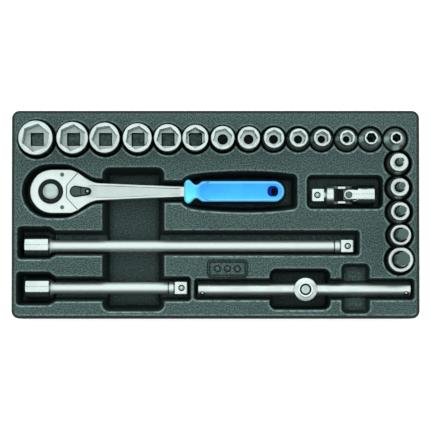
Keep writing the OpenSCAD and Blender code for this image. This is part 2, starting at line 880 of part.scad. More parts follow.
extension(long_x0, long_y, long_len);  // long_extension
extension_ball(long_x0, long_y, long_len);  // long_ball
extension(short_x0, short_y, short_len);  // short_extension
extension_ball(short_x0, short_y, short_len);  // short_ball
uj_drive_yoke();
uj_cross();
uj_socket_yoke();
uj_ball();
t_bar();
t_end_balls();
t_slider();
t_cap();
t_ball();
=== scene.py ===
import math

import bmesh
import bpy
import numpy as np
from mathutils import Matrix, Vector
from mathutils.geometry import delaunay_2d_cdt


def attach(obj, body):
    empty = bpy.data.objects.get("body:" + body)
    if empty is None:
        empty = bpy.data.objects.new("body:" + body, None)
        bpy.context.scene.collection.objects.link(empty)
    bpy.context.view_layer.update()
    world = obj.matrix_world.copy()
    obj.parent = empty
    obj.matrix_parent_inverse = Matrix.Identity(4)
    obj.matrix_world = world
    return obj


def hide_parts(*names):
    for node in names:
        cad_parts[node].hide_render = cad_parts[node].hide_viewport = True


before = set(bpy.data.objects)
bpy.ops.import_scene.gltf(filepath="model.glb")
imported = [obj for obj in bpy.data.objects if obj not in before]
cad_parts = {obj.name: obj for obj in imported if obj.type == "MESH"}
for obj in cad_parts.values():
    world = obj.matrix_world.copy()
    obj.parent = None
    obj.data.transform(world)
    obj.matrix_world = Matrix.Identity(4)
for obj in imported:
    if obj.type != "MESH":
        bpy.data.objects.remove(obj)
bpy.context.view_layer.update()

MM = 0.001
TAU = 2 * math.pi

# ------------------------------------------------------------------ sizes, in millimetres
DECK = 36.0
BASE_T = 1.6
TRAY_HX, TRAY_HY, TRAY_R = 155.0, 79.0, 5.0
HEAD_TOP, HEAD_BOT = 35.5, 20.5
SHANK_Z, SHANK_T = 28.2, 8.6
RAT_X, RAT_Y = -126.3, 17.8
LEVER_X = -107.2
BAR_Z = 27.6
SOCKET_Y, SOCKET_BOT, SOCKET_LEN, HEX_DEPTH = 57.8, 20.2, 28.0, 14.5
# sockets of this size and over show their drive square at the bottom of the hexagon
SQUARE_THROUGH = 14
SQUARE_DEPTH, DRIVE_END_R, DRIVE_END_H, CONE_H = 11.5, 8.6, 14.0, 4.5
# across flats of the male and female squares, and how far out the female's corners reach
SQ, FSQ, FSQ_CORNER = 9.5, 9.7, 6.75
HOLDER_LEN, BIT_SHOW, BIT_GRIP = 26.0, 22.0, 9.0
TBAR_Y, TBAR_Z, TBAR_R, THEAD_X = -57.2, 30.0, 4.5, 68.6

SOCKETS = [
    # size, x, outside diameter, turn of the hexagon, radius of the well
    (19, -136.8, 26.0, 80, 14.9), (18, -108.9, 24.0, 84, 13.8), (17, -84.4, 23.0, 68, 13.4),
    (16, -59.5, 22.0, 82, 12.6), (15, -36.5, 20.7, 74, 12.0), (14, -15.4, 19.7, 90, 11.5),
    (13, 5.4, 17.9, 75, 10.7), (12, 25.2, 16.8, 0, 10.3), (11, 44.3, 15.4, 88, 10.2),
    (10, 63.1, 13.9, 75, 9.9), (9, 81.0, 12.8, 90, 9.9), (8, 100.0, 11.5, 80, 9.9),
    (7, 118.2, 10.1, 0, 9.9), (6, 137.3, 9.0, 90, 9.9),
]
BITS = [
    # size, x, y, face diameter, turn, radius of the well
    (4, 139.4, 39.3, 13.8, 60, 10.7), (5, 139.8, 20.4, 13.8, 50, 10.7), (6, 140.1, 2.0, 14.0, 15, 10.7),
    (8, 140.5, -15.9, 15.6, 20, 10.7), (10, 140.5, -34.7, 18.7, 30, 11.7),
]


# ------------------------------------------------------------------ materials
def new_material(name):
    m = bpy.data.materials.new(name)
    m.use_nodes = True
    nt = m.node_tree
    bsdf = nt.nodes["Principled BSDF"]
    return m, nt, bsdf


def node(nt, kind, **values):
    n = nt.nodes.new(kind)
    for k, v in values.items():
        if k in n.inputs:
            n.inputs[k].default_value = v
        else:
            setattr(n, k, v)
    return n


def ramp(nt, fac, stops):
    r = nt.nodes.new("ShaderNodeValToRGB")
    el = r.color_ramp.elements
    while len(el) < len(stops):
        el.new(0.5)
    for e, (pos, col) in zip(el, stops):
        e.position = pos
        e.color = (*col, 1) if len(col) == 3 else col
    nt.links.new(fac, r.inputs["Fac"])
    return r.outputs["Color"]


def noise(nt, coords, scale, detail=3.0, rough=0.55, stretch=None):
    n = node(nt, "ShaderNodeTexNoise", Scale=scale, Detail=detail, Roughness=rough)
    if stretch:
        mp = nt.nodes.new("ShaderNodeMapping")
        mp.inputs["Scale"].default_value = stretch
        nt.links.new(coords, mp.inputs["Vector"])
        coords = mp.outputs["Vector"]
    nt.links.new(coords, n.inputs["Vector"])
    return n.outputs["Fac"]


def multiply(nt, a, b):
    mix = node(nt, "ShaderNodeMix", data_type="RGBA", blend_type="MULTIPLY")
    mix.inputs["Factor"].default_value = 1.0
    nt.links.new(a, mix.inputs["A"])
    nt.links.new(b, mix.inputs["B"])
    return mix.outputs["Result"]


def mixed(nt, factor, a, colour):
    """a, giving way to a plain colour where factor is 1."""
    mix = node(nt, "ShaderNodeMix", data_type="RGBA", blend_type="MIX")
    nt.links.new(factor, mix.inputs["Factor"])
    nt.links.new(a, mix.inputs["A"])
    mix.inputs["B"].default_value = (*colour, 1)
    return mix.outputs["Result"]


def axes_of(nt, vector):
    sep = nt.nodes.new("ShaderNodeSeparateXYZ")
    nt.links.new(vector, sep.inputs[0])
    return sep.outputs


def along(nt, value, low, high, stops):
    """A colour ramp over the stretch from low to high of a coordinate in metres."""
    span = node(nt, "ShaderNodeMapRange")
    nt.links.new(value, span.inputs["Value"])
    span.inputs["From Min"].default_value = low
    span.inputs["From Max"].default_value = high
    return ramp(nt, span.outputs["Result"], stops)


def coords_of(nt):
    return nt.nodes.new("ShaderNodeTexCoord").outputs["Object"]


def grey(v):
    return (v, v, v)


def marked(nt, factor):
    """The edge attribute times factor, kept between 0 and 1."""
    edge = node(nt, "ShaderNodeAttribute", attribute_name="edge")
    part = node(nt, "ShaderNodeMath", operation="MULTIPLY", use_clamp=True)
    nt.links.new(edge.outputs["Fac"], part.inputs[0])
    part.inputs[1].default_value = factor
    return part.outputs[0]


def add_bump(nt, bsdf, layers):
    """layers: (height socket, strength, distance in metres), chained."""
    last = None
    for height, strength, distance in layers:
        b = node(nt, "ShaderNodeBump", Strength=strength, Distance=distance)
        nt.links.new(height, b.inputs["Height"])
        if last:
            nt.links.new(last, b.inputs["Normal"])
        last = b.outputs["Normal"]
    nt.links.new(last, bsdf.inputs["Normal"])


def metal(name, colour, rough, brush=(1, 1, 1), brush_scale=900, stain=0.06, scratch=0.12,
          second=None, third=None):
    """Plated steel: brushed grain along one axis, soft stains, a few fine scratches.

    second is (colour, roughness) of the places that the edge attribute marks with 1, third of those with -1.
    """
    m, nt, bsdf = new_material(name)
    co = coords_of(nt)
    bsdf.inputs["Metallic"].default_value = 1.0
    broad = noise(nt, co, 60, 4, 0.6)
    grain = noise(nt, co, brush_scale, 2, 0.5, brush)
    dark = tuple(c * (1 - 2.2 * stain) for c in colour)
    col = ramp(nt, broad, [(0.35, dark), (0.65, colour)])
    mixer = node(nt, "ShaderNodeMath", operation="MULTIPLY_ADD")
    nt.links.new(grain, mixer.inputs[0])
    mixer.inputs[1].default_value = rough * 0.9
    mixer.inputs[2].default_value = rough * 0.55
    gloss = mixer.outputs[0]
    for sign, finish in ((1.0, second), (-1.0, third)):
        if not finish:
            continue
        mark = marked(nt, sign)
        col = mixed(nt, mark, col, finish[0])
        blend = node(nt, "ShaderNodeMix", data_type="FLOAT")
        nt.links.new(mark, blend.inputs["Factor"])
        nt.links.new(gloss, blend.inputs["A"])
        blend.inputs["B"].default_value = finish[1]
        gloss = blend.outputs["Result"]
    nt.links.new(col, bsdf.inputs["Base Color"])
    nt.links.new(gloss, bsdf.inputs["Roughness"])
    fine = noise(nt, co, 2600, 2, 0.6, brush)
    add_bump(nt, bsdf, [(grain, scratch, 0.00002), (fine, scratch * 0.6, 0.00001)])
    return m


def tray_material():
    """Pebbled black-green plastic, with painted shade that darkens the walls and the depths of the pockets,
    painted highlights along the rims, and near-black painted shade where the edge attribute is negative.
    """
    m, nt, bsdf = new_material("tray_abs")
    co = coords_of(nt)
    cloud = noise(nt, co, 35, 5, 0.6)
    speck = noise(nt, co, 1000, 2, 0.8)
    streak = noise(nt, co, 300, 2, 0.6)
    cells = node(nt, "ShaderNodeTexVoronoi", Scale=560.0)
    nt.links.new(co, cells.inputs["Vector"])
    base = ramp(nt, cloud, [(0.3, (0.037, 0.069, 0.066)), (0.7, (0.048, 0.085, 0.081))])
    spots = ramp(nt, speck, [(0.38, grey(0.2)), (0.5, grey(0.95)), (0.62, grey(2.25))])
    col = multiply(nt, base, spots)
    normal = nt.nodes.new("ShaderNodeNewGeometry").outputs["Normal"]
    # painted shade: the steeper a face, the darker its colour, and lower in the pockets darker again
    slope = ramp(nt, axes_of(nt, normal)["Z"], [(0.3, grey(0.22)), (0.7, grey(0.38)), (0.96, grey(1.0))])
    depth_stops = [(0.0, grey(0.5)), (0.8, grey(0.8)), (0.97, grey(1.0))]
    depth = along(nt, axes_of(nt, co)["Z"], 0.014, DECK * MM, depth_stops)
    col = multiply(nt, multiply(nt, col, slope), depth)
    # painted highlight: a pale streaky colour where the edge attribute is positive, along the pocket rims, the
    # front of the deck and the peg tops
    light_and_shade_paint = node(nt, "ShaderNodeMath", operation="MULTIPLY")
    nt.links.new(marked(nt, 1.0), light_and_shade_paint.inputs[0])
    nt.links.new(ramp(nt, streak, [(0.38, grey(0.2)), (0.55, grey(1.0))]), light_and_shade_paint.inputs[1])
    col = mixed(nt, light_and_shade_paint.outputs[0], col, (0.20, 0.31, 0.29))
    # painted shade: near black where the edge attribute is negative, on the deck's outer edge, the skirt, the
    # feet of the walls, small peg tops and round the label
    col = mixed(nt, marked(nt, -1.0), col, (0.003, 0.008, 0.008))
    nt.links.new(col, bsdf.inputs["Base Color"])
    nt.links.new(ramp(nt, speck, [(0.3, grey(0.42)), (0.7, grey(0.58))]), bsdf.inputs["Roughness"])
    bsdf.inputs["Specular IOR Level"].default_value = 0.3
    bsdf.inputs["Specular Tint"].default_value = (0.75, 1.0, 0.95, 1)
    add_bump(nt, bsdf, [(cells.outputs["Distance"], 0.7, 0.0005), (speck, 0.9, 0.0007)])
    return m


def plastic(name, low, high, rough=0.4, grain=1500, bump=0.15, specular=0.3, rim=None):
    """Moulded plastic; rim is the colour of the places that the edge attribute marks."""
    m, nt, bsdf = new_material(name)
    co = coords_of(nt)
    cloud = noise(nt, co, 90, 4, 0.6)
    fine = noise(nt, co, grain, 3, 0.6)
    col = ramp(nt, cloud, [(0.3, low), (0.7, high)])
    if rim:
        col = mixed(nt, marked(nt, 1.0), col, rim)
    nt.links.new(col, bsdf.inputs["Base Color"])
    uneven = ramp(nt, fine, [(0.3, grey(rough * 0.8)), (0.7, grey(rough * 1.2))])
    nt.links.new(uneven, bsdf.inputs["Roughness"])
    bsdf.inputs["Specular IOR Level"].default_value = specular
    add_bump(nt, bsdf, [(fine, bump, 0.00008)])
    return m


def grip_material():
    """Light blue plastic: cyan towards the collar, with painted light making the front side lighter and warmer, a
    paler raised edge that is partly its lighter coating and partly a painted highlight, and navy painted shade in
    the hang-hole recess.
    """
    m, nt, bsdf = new_material("grip_blue")
    co = coords_of(nt)
    axes = axes_of(nt, co)
    col = along(nt, axes["X"], -0.025, 0.055, [
        (0.0, (0.08, 0.62, 0.90)), (0.11, (0.08, 0.56, 0.90)), (0.17, (0.034, 0.32, 0.84)),
        (0.5, (0.040, 0.36, 0.87)), (1.0, (0.034, 0.33, 0.84)),
    ])
    cloud = noise(nt, co, 120, 4, 0.6)
    col = multiply(nt, col, ramp(nt, cloud, [(0.3, grey(0.93)), (0.7, grey(1.06))]))
    # painted light: lighter and warmer towards the front side
    lighter_front_stops = [(0.0, (1.9, 1.5, 1.04)), (0.5, (1.3, 1.16, 1.0)), (1.0, (1.0, 1.0, 1.0))]
    lighter_front = along(nt, axes["Y"], (RAT_Y - 8) * MM, (RAT_Y + 6) * MM, lighter_front_stops)
    # paler along the raised edge, partly a lighter coating and partly a painted highlight
    col = mixed(nt, marked(nt, 0.6), multiply(nt, col, lighter_front), (0.22, 0.66, 0.98))
    # painted shade: deep navy in the hang-hole recess
    col = mixed(nt, marked(nt, -1.0), col, (0.001, 0.006, 0.30))
    nt.links.new(col, bsdf.inputs["Base Color"])
    fine = noise(nt, co, 1800, 2, 0.5)
    nt.links.new(ramp(nt, fine, [(0.3, grey(0.26)), (0.7, grey(0.38))]), bsdf.inputs["Roughness"])
    bsdf.inputs["Coat Weight"].default_value = 0.04
    bsdf.inputs["Coat Roughness"].default_value = 0.2
    bsdf.inputs["Specular Tint"].default_value = (0.15, 0.6, 1.0, 1)
    bsdf.inputs["Specular IOR Level"].default_value = 0.3
    add_bump(nt, bsdf, [(fine, 0.12, 0.00006)])
    return m


CHROME = (0.47, 0.56, 0.54)
SATIN = (0.56, 0.66, 0.635)
FINE = (0.50, 0.59, 0.565)
# (colour, roughness) of painted shade in gaps, recesses and on faces turned from the light; the first also
# darkens the shank's sunken panel a little
PAINTED_SHADE_AND_DARK_TONE = ((0.012, 0.018, 0.017), 0.5)
SOFT_PAINTED_SHADE = ((0.06, 0.085, 0.08), 0.4)
ALONG_X, ALONG_Y, ALONG_Z, EVEN = (0.1, 1, 1), (1, 0.12, 1), (1, 1, 0.05), (1, 1, 1)
MAT = {
    "tray": tray_material(),
    "panel": plastic("tray_panel", (0.02, 0.042, 0.04), (0.028, 0.055, 0.052), 0.5),
    # second: near-black painted shade inside the hexagon and the drive hole; third: a rougher finish on the
    # shoulder cones
    "socket": metal("socket_chrome", CHROME, 0.24, ALONG_Z, 1200,
                    second=((0.0, 0.055, 0.05), 0.5), third=((0.46, 0.57, 0.545), 0.4)),
    "bar": metal("bar_chrome", CHROME, 0.12, (0.05, 1, 1), 1200, second=(SATIN, 0.52), third=SOFT_PAINTED_SHADE),
    "tbar": metal("t_chrome", SATIN, 0.44, (0.05, 1, 1), 1200),
    "head": metal("head_chrome", SATIN, 0.38, ALONG_Z, 1200, second=PAINTED_SHADE_AND_DARK_TONE),
    "satin": metal("satin_holder", FINE, 0.34, (1, 1, 0.06), 1400, second=PAINTED_SHADE_AND_DARK_TONE),
    "body": metal("ratchet_satin", FINE, 0.34, (0.12, 1, 1), 1500, 0.05, 0.2, second=PAINTED_SHADE_AND_DARK_TONE),
    "cover": metal("cover_satin", (0.51, 0.60, 0.575), 0.32, ALONG_Y, 1500, 0.05, 0.2),
    "button": metal("button_chrome", (0.36, 0.45, 0.43), 0.34, EVEN, 1000),
    # the bit's second finish is a painted highlight along the tip's chamfer
    "bit": metal("bit_dark", (0.07, 0.115, 0.107), 0.5, (1, 1, 0.1), 1500, 0.1, 0.3,
                 second=((0.50, 0.60, 0.57), 0.4)),
    "drive": metal("drive_steel", (0.42, 0.45, 0.44), 0.25, (1, 1, 0.1), 1400),
    "joint": metal("joint_chrome", CHROME, 0.18, ALONG_X, 1200,
                   second=((0.50, 0.60, 0.575), 0.38), third=SOFT_PAINTED_SHADE),
    "cross": metal("joint_dark", (0.085, 0.12, 0.114), 0.42, ALONG_X, 900, 0.1, 0.3),
    "screw": metal("screw_dark", (0.10, 0.13, 0.125), 0.35, EVEN, 1400, 0.1, 0.3),
    "ball": metal("ball_steel", (0.5, 0.58, 0.56), 0.12, EVEN, 1000),
    # near black, for the painted shadow round the retaining balls
    "ring": metal("ball_seat", (0.012, 0.02, 0.019), 0.5, EVEN, 1000),
    "pawl": metal("pawl_steel", (0.25, 0.27, 0.27), 0.4, EVEN, 1400, 0.1, 0.3),
    "dial": plastic("dial_black", (0.005, 0.014, 0.013), (0.009, 0.020, 0.019), 0.35,
                    specular=0.08, rim=(0.002, 0.004, 0.004)),
    "lever": plastic("lever_grey", (0.036, 0.064, 0.060), (0.052, 0.086, 0.081), 0.42,
                     specular=0.1, rim=(0.003, 0.006, 0.006)),
    "grip": grip_material(),
    "sides": plastic("grip_navy", (0.001, 0.006, 0.020), (0.003, 0.011, 0.034), 0.5, 2200, 0.3, specular=0.15),
}


# ------------------------------------------------------------------ mesh tools
def build(name, verts, faces, mat, body, replaces, angle, edge):
    """A piece from millimetre coordinates, welded, shaded smooth up to an angle."""
    me = bpy.data.meshes.new(name)
    me.from_pydata([(x * MM, y * MM, z * MM) for x, y, z in verts], [], faces)
    me.attributes.new("edge", "FLOAT", "POINT").data.foreach_set("value", edge)
    bm = bmesh.new()
    bm.from_mesh(me)
    bmesh.ops.remove_doubles(bm, verts=bm.verts, dist=2e-7)
    bmesh.ops.dissolve_degenerate(bm, edges=bm.edges, dist=1e-7)
    bmesh.ops.recalc_face_normals(bm, faces=bm.faces)
    bm.to_mesh(me)
    bm.free()
    me.polygons.foreach_set("use_smooth", [True] * len(me.polygons))
    me.set_sharp_from_angle(angle=math.radians(angle))
    ob = bpy.data.objects.new(name, me)
    bpy.context.scene.collection.objects.link(ob)
    me.materials.append(MAT[mat])
    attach(ob, body)
    if replaces:
        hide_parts(*replaces)


def band(a, b, n):
    """Faces between loops number a and b of n points each."""
    return [(a * n + i, a * n + (i + 1) % n, b * n + (i + 1) % n, b * n + i) for i in range(n)]


class Shape:
    """Collects parts of one piece before it becomes a mesh."""

    def __init__(self):
        self.v, self.f, self.e = [], [], []

    def add(self, verts, faces, edge=0.0):
        n = len(self.v)
        self.v += [tuple(p) for p in verts]
        self.f += [tuple(i + n for i in f) for f in faces]
        self.e += list(edge) if isinstance(edge, (list, tuple)) else [edge] * len(verts)
        return self

    def rings(self, loops, cap0=True, cap1=True, closed=False, marks=None):
        """Skins a row of loops with as many points each; marks holds one value per loop."""
        n = len(loops[0])
        verts = [p for loop in loops for p in loop]
        count = len(loops)
        faces = [q for a in range(count if closed else count - 1) for q in band(a, (a + 1) % count, n)]
        if not closed and cap0:
            faces.append(tuple(range(n - 1, -1, -1)))
        if not closed and cap1:
            faces.append(tuple((count - 1) * n + i for i in range(n)))
        return self.add(verts, faces, [m for m in marks for _ in range(n)] if marks else 0.0)

    def make(self, name, mat, body, slot, replaces=(), angle=32):
        build(name, self.v, self.f, mat, body, replaces, angle, self.e)


def rounded(points, steps=4):
    """A profile of (r, z, fillet radius) as plain points with the corners rounded."""
    out = []
    n = len(points)
    for k, (x, y, rad) in enumerate(points):
        if rad <= 0 or k in (0, n - 1):
            out.append((x, y))
            continue
        p = Vector((x, y))
        a = Vector(points[k - 1][:2]) - p
        b = Vector(points[k + 1][:2]) - p
        la, lb = a.length, b.length
        a.normalize()
        b.normalize()
        ang = a.angle(b)
        t = min(rad / math.tan(ang / 2), la * 0.49, lb * 0.49)
        r = t * math.tan(ang / 2)
        c = p + (a + b).normalized() * (r / math.sin(ang / 2))
        s, e = p + a * t - c, p + b * t - c
        sweep = math.atan2(s.x * e.y - s.y * e.x, s.dot(e))
        for i in range(steps + 1):
            w = sweep * i / steps
            cw, sw = math.cos(w), math.sin(w)
            out.append((c.x + s.x * cw - s.y * sw, c.y + s.x * sw + s.y * cw))
    return out


def circle(r, z, n=96, turn=0.0):
    return [(r * math.cos(TAU * i / n + turn), r * math.sin(TAU * i / n + turn), z) for i in range(n)]


def disc(cx, cy, r, n=32):
    return [(cx + r * math.cos(TAU * i / n), cy + r * math.sin(TAU * i / n)) for i in range(n)]


def ngon_radius(theta, sides, apothem, corner_r=1e9):
    """Distance from the centre to a regular polygon's side, cut off by a turned corner."""
    step = TAU / sides
    t = (theta % step) - step / 2
    return min(apothem / math.cos(t), corner_r)


def square_loop(half, z, n=96, turn=0.0, corner_r=1e9):
    """turn is the angle of the first point."""
    out = []
    for i in range(n):
        a = TAU * i / n + turn
        r = ngon_radius(a - TAU / 8, 4, half, corner_r)
        out.append((r * math.cos(a), r * math.sin(a), z))
    return out


def hex_loop(af, z, turn, n=96, corner_r=1e9, grow_to=0.0):
    """A hexagon with a corner at the angle turn; nowhere closer in than grow_to."""
    out = []
    for i in range(n):
        a = TAU * i / n
        r = max(ngon_radius(a, 6, af / 2, corner_r), grow_to)
        out.append((r * math.cos(a + turn), r * math.sin(a + turn), z))
    return out


def lathe_loops(profile, n=96, turn=0.0):
    return [circle(max(r, 1e-3), z, n, turn) for r, z in profile]


def moved(loops, x, y, z):
    return [[(p[0] + x, p[1] + y, p[2] + z) for p in loop] for loop in loops]


def along_x(loops, x, y, z):
    """Turns work built about +Z to lie about +X."""
    return [[(x + p[2], y + p[1], z - p[0]) for p in loop] for loop in loops]


def about_x(points, centre, angle):
    """Points turned about X by an angle in radians, then moved to centre."""
    cx, cy, cz = centre
    c, s = math.cos(angle), math.sin(angle)
    return [(cx + x, cy + y * c - z * s, cz + y * s + z * c) for x, y, z in points]


def smoothstep(a, b, x):
    t = min(1.0, max(0.0, (x - a) / (b - a)))
    return t * t * (3 - 2 * t)


def arc(cx, cy, r, a0, a1, n):
    return [(cx + r * math.cos(math.radians(a0 + (a1 - a0) * i / n)),
             cy + r * math.sin(math.radians(a0 + (a1 - a0) * i / n))) for i in range(n + 1)]


def round_rect(x0, x1, y0, y1, r, n=6):
    return (arc(x1 - r, y1 - r, r, 0, 90, n) + arc(x0 + r, y1 - r, r, 90, 180, n)
            + arc(x0 + r, y0 + r, r, 180, 270, n) + arc(x1 - r, y0 + r, r, 270, 360, n))


def dense(points, step, closed=True):
    """The same polyline with no segment longer than step."""
    out = []
    n = len(points)
    for i in range(n if closed else n - 1):
        a, b = points[i], points[(i + 1) % n]
        k = max(1, math.ceil(math.dist(a, b) / step))
        out += [(a[0] + (b[0] - a[0]) * j / k, a[1] + (b[1] - a[1]) * j / k) for j in range(k)]
    if not closed:
        out.append(points[-1])
    return out


def spline(points, n=8):
    """Catmull-Rom through the points, open."""
    out = []
    for i in range(len(points) - 1):
        p0, p1 = points[max(i - 1, 0)], points[i]
        p2, p3 = points[i + 1], points[min(i + 2, len(points) - 1)]
        for j in range(n):
            t = j / n
            out.append(tuple(
                0.5 * (2 * b + (c - a) * t + (2 * a - 5 * b + 4 * c - d) * t * t
                       + (3 * b - a - 3 * c + d) * t ** 3)
                for a, b, c, d in zip(p0, p1, p2, p3)))
    out.append(tuple(points[-1]))
    return out


def outward(loop):
    """Unit normals of a counter-clockwise loop, pointing out, mitred."""
    n = len(loop)
    out = []
    for i in range(n):
        ax, ay = loop[i - 1]
        bx, by = loop[i]
        cx, cy = loop[(i + 1) % n]
        n1 = Vector((by - ay, ax - bx)).normalized()
        n2 = Vector((cy - by, bx - cx)).normalized()
        m = n1 + n2
        if m.length < 1e-6:
            m = n1
        m.normalize()
        out.append(m / max(0.5, m.dot(n1)))
    return out


def inside_many(points, loop):
    """Even-odd test of an array of points against one loop."""
    x, y = points[:, 0], points[:, 1]
    hit = np.zeros(len(points), bool)
    n = len(loop)
    for i in range(n):
        x1, y1 = loop[i]
        x2, y2 = loop[(i + 1) % n]
        if y1 == y2:
            continue
        cross = (y1 > y) != (y2 > y)
        hit ^= cross & (x < (x2 - x1) * (y - y1) / (y2 - y1) + x1)
    return hit


def cap(loop, holes, height, spacing=None, extra=()):
    """Triangles that fill a loop around its holes, at height(x, y); extra loops are kept as edges."""
    pts, edges = [], []
    for lp in [loop, *holes, *extra]:
        s = len(pts)
        pts += [Vector(p) for p in lp]
        edges += [(s + i, s + (i + 1) % len(lp)) for i in range(len(lp))]
    if spacing:
        xs = [p[0] for p in loop]
        ys = [p[1] for p in loop]
        gx, gy = np.meshgrid(np.arange(min(xs), max(xs), spacing), np.arange(min(ys), max(ys), spacing))
        g = np.stack([gx.ravel() + 0.013, gy.ravel() + 0.017], 1)
        keep = inside_many(g, loop)
        for h in holes:
            keep &= ~inside_many(g, h)
        pts += [Vector(p) for p in g[keep].tolist()]
    v, _, f, *_ = delaunay_2d_cdt(pts, edges, [], 0, 1e-6)
    c = np.array([[sum(v[i].x for i in t) / 3, sum(v[i].y for i in t) / 3] for t in f])
    keep = inside_many(c, loop)
    for h in holes:
        keep &= ~inside_many(c, h)
    return [(p.x, p.y, height(p.x, p.y)) for p in v], [tuple(t) for t, k in zip(f, keep) if k]


def soft_prism(shape, outline, top, bottom, r_top, r_bot=0.3, holes=(), steps=4, spacing=None,
               extra=(), cap_bottom=True, edge_mark=False):
    """An outline raised between two heights with rounded edges.

    top and bottom are numbers or functions of (x, y). r_top is one radius or one per point.
    holes go straight down from the top, each (loop, radius of its rim, depth or None for right through).
    """
    ztop = top if callable(top) else (lambda x, y: top)
    zbot = bottom if callable(bottom) else (lambda x, y: bottom)
    n = len(outline)
    nrm = outward(outline)
    rt = r_top if isinstance(r_top, list) else [r_top] * n
    loops, marks = [], []
    for k in range(steps + 1):
        phi = math.pi / 2 * k / steps
        ins = r_bot * (1 - math.sin(phi))
        pts = [(p[0] - m.x * ins, p[1] - m.y * ins) for p, m in zip(outline, nrm)]
        loops.append([(x, y, zbot(x, y) + r_bot * (1 - math.cos(phi))) for x, y in pts])
        marks.append(0.0)
    for k in range(steps + 1):
        phi = math.pi / 2 * k / steps
        pts = [(p[0] - m.x * r * (1 - math.cos(phi)), p[1] - m.y * r * (1 - math.cos(phi)))
               for p, m, r in zip(outline, nrm, rt)]
        loops.append([(x, y, ztop(x, y) - r * (1 - math.sin(phi))) for (x, y), r in zip(pts, rt)])
        marks.append(1.0 if 0 < k else 0.4)
    # with edge_mark, the rounded top edge and a strip inside it are marked for a pale rim, partly painted
    # highlight
    shape.rings(loops, False, False, marks=marks if edge_mark else None)
    top_holes, bot_holes = [], []
    for lp, rim, depth, *below in holes:
        hn = outward(lp)
        m = len(lp)
        hl = []
        for k in range(steps, -1, -1):
            phi = math.pi / 2 * k / steps
            down = rim * (1 - math.sin(phi))
            pts = [(p[0] + q.x * rim * (1 - math.cos(phi)), p[1] + q.y * rim * (1 - math.cos(phi)))
                   for p, q in zip(lp, hn)]
            hl.append([(x, y, ztop(x, y) - down) for x, y in pts])
        top_holes.append([(p[0], p[1]) for p in hl[0]])
        if depth is None:
            hl.append([(x, y, zbot(x, y)) for x, y in lp])
            bot_holes.append([(x, y) for x, y in lp])
        else:
            hl.append([(x, y, ztop(x, y) - depth) for x, y in lp])
        hv = [p for q in hl for p in q]
        hf = [tuple(reversed(q)) for a in range(len(hl) - 1) for q in band(a, a + 1, m)]
        if depth is not None and not below:
            hf.append(tuple((len(hl) - 1) * m + i for i in range(m)))
        # the floor of a recess with a hole below it, and the walls of that hole, are marked -1 for painted shade
        shape.add(hv, hf, [0.0] * (m * (len(hl) - 1)) + [-1.0 if below else 0.0] * m)
        for sub in below:
            # a smaller hole in the floor of this one, right through
            fv, ff = cap(lp, [sub], lambda x, y: ztop(x, y) - depth)
            shape.add(fv, ff, -1.0)
            k = len(sub)
            shape.add([(x, y, ztop(x, y) - depth) for x, y in sub] + [(x, y, zbot(x, y)) for x, y in sub],
                      [((i + 1) % k, i, k + i, k + (i + 1) % k) for i in range(k)], -1.0)
            bot_holes.append(sub)
    inner = [(p[0], p[1]) for p in loops[-1]]
    if edge_mark:
        rim_loop = [(p[0] - m.x * 0.7, p[1] - m.y * 0.7) for p, m in zip(inner, nrm)]
        shape.add([(x, y, ztop(x, y)) for x, y in inner] + [(x, y, ztop(x, y)) for x, y in rim_loop],
                  [(i, (i + 1) % n, n + (i + 1) % n, n + i) for i in range(n)], [1.0] * n + [0.0] * n)
        inner = rim_loop
    cv, cf = cap(inner, top_holes, ztop, spacing, extra)
    shape.add(cv, cf)
    if cap_bottom:
        low = [(p[0], p[1]) for p in loops[0]]
        cv, cf = cap(low, bot_holes, zbot)
        shape.add(cv, [tuple(reversed(t)) for t in cf])
    return shape


# ------------------------------------------------------------------ tray
def sd_circle(x, y, cx, cy, r):
    return r - np.hypot(x - cx, y - cy)


def sd_rect(x, y, x0, x1, y0, y1, r):
    """Distance inside a rounded rectangle, negative outside."""
    qx = np.abs(x - (x0 + x1) / 2) - (x1 - x0) / 2 + r
    qy = np.abs(y - (y0 + y1) / 2) - (y1 - y0) / 2 + r
    return -(np.hypot(np.maximum(qx, 0), np.maximum(qy, 0)) + np.minimum(np.maximum(qx, qy), 0) - r)


def sd_poly(x, y, pts):
    best = np.full(x.shape, 1e9)
    hit = np.zeros(x.shape, bool)
    n = len(pts)
    for i in range(n):
        ax, ay = pts[i]
        bx, by = pts[(i + 1) % n]
        dx, dy = bx - ax, by - ay
        t = np.clip(((x - ax) * dx + (y - ay) * dy) / (dx * dx + dy * dy), 0, 1)
        best = np.minimum(best, np.hypot(x - ax - t * dx, y - ay - t * dy))
        if ay != by:
            hit ^= ((ay > y) != (by > y)) & (x < (bx - ax) * (y - ay) / (by - ay) + ax)
    return np.where(hit, best, -best)


def head_well_outline():
    cx, r = -127.6, 20.4
    top = spline([(cx, r), (-116, r), (-110.4, 19.2), (-105, 16.6), (-99.9, 13.6), (-95.5, 11.0),
                  (-91.5, 9.8), (-84, 9.4)], 4)
    left = arc(cx, 0, r, 90, 270, 30)
    loop = left + [(x, -y) for x, y in top[1:]] + list(reversed(top))[:-1]
    return [(x, y + RAT_Y + 0.2) for x, y in loop]


def grip_well_outline():
    top = spline([(-26, 8.4), (-24.5, 10.2), (-21, 12.2), (-14, 13.7), (5, 15.2), (26, 15.7), (45, 14.9),
                  (58.5, 13.4)], 4)
    upper = top + arc(62.4 - 3.8, 13.4 - 3.8, 3.8, 90, 0, 5)
    loop = list(reversed(upper)) + [(x, -y) for x, y in upper]
    return [(x, y + RAT_Y - 0.2) for x, y in loop]


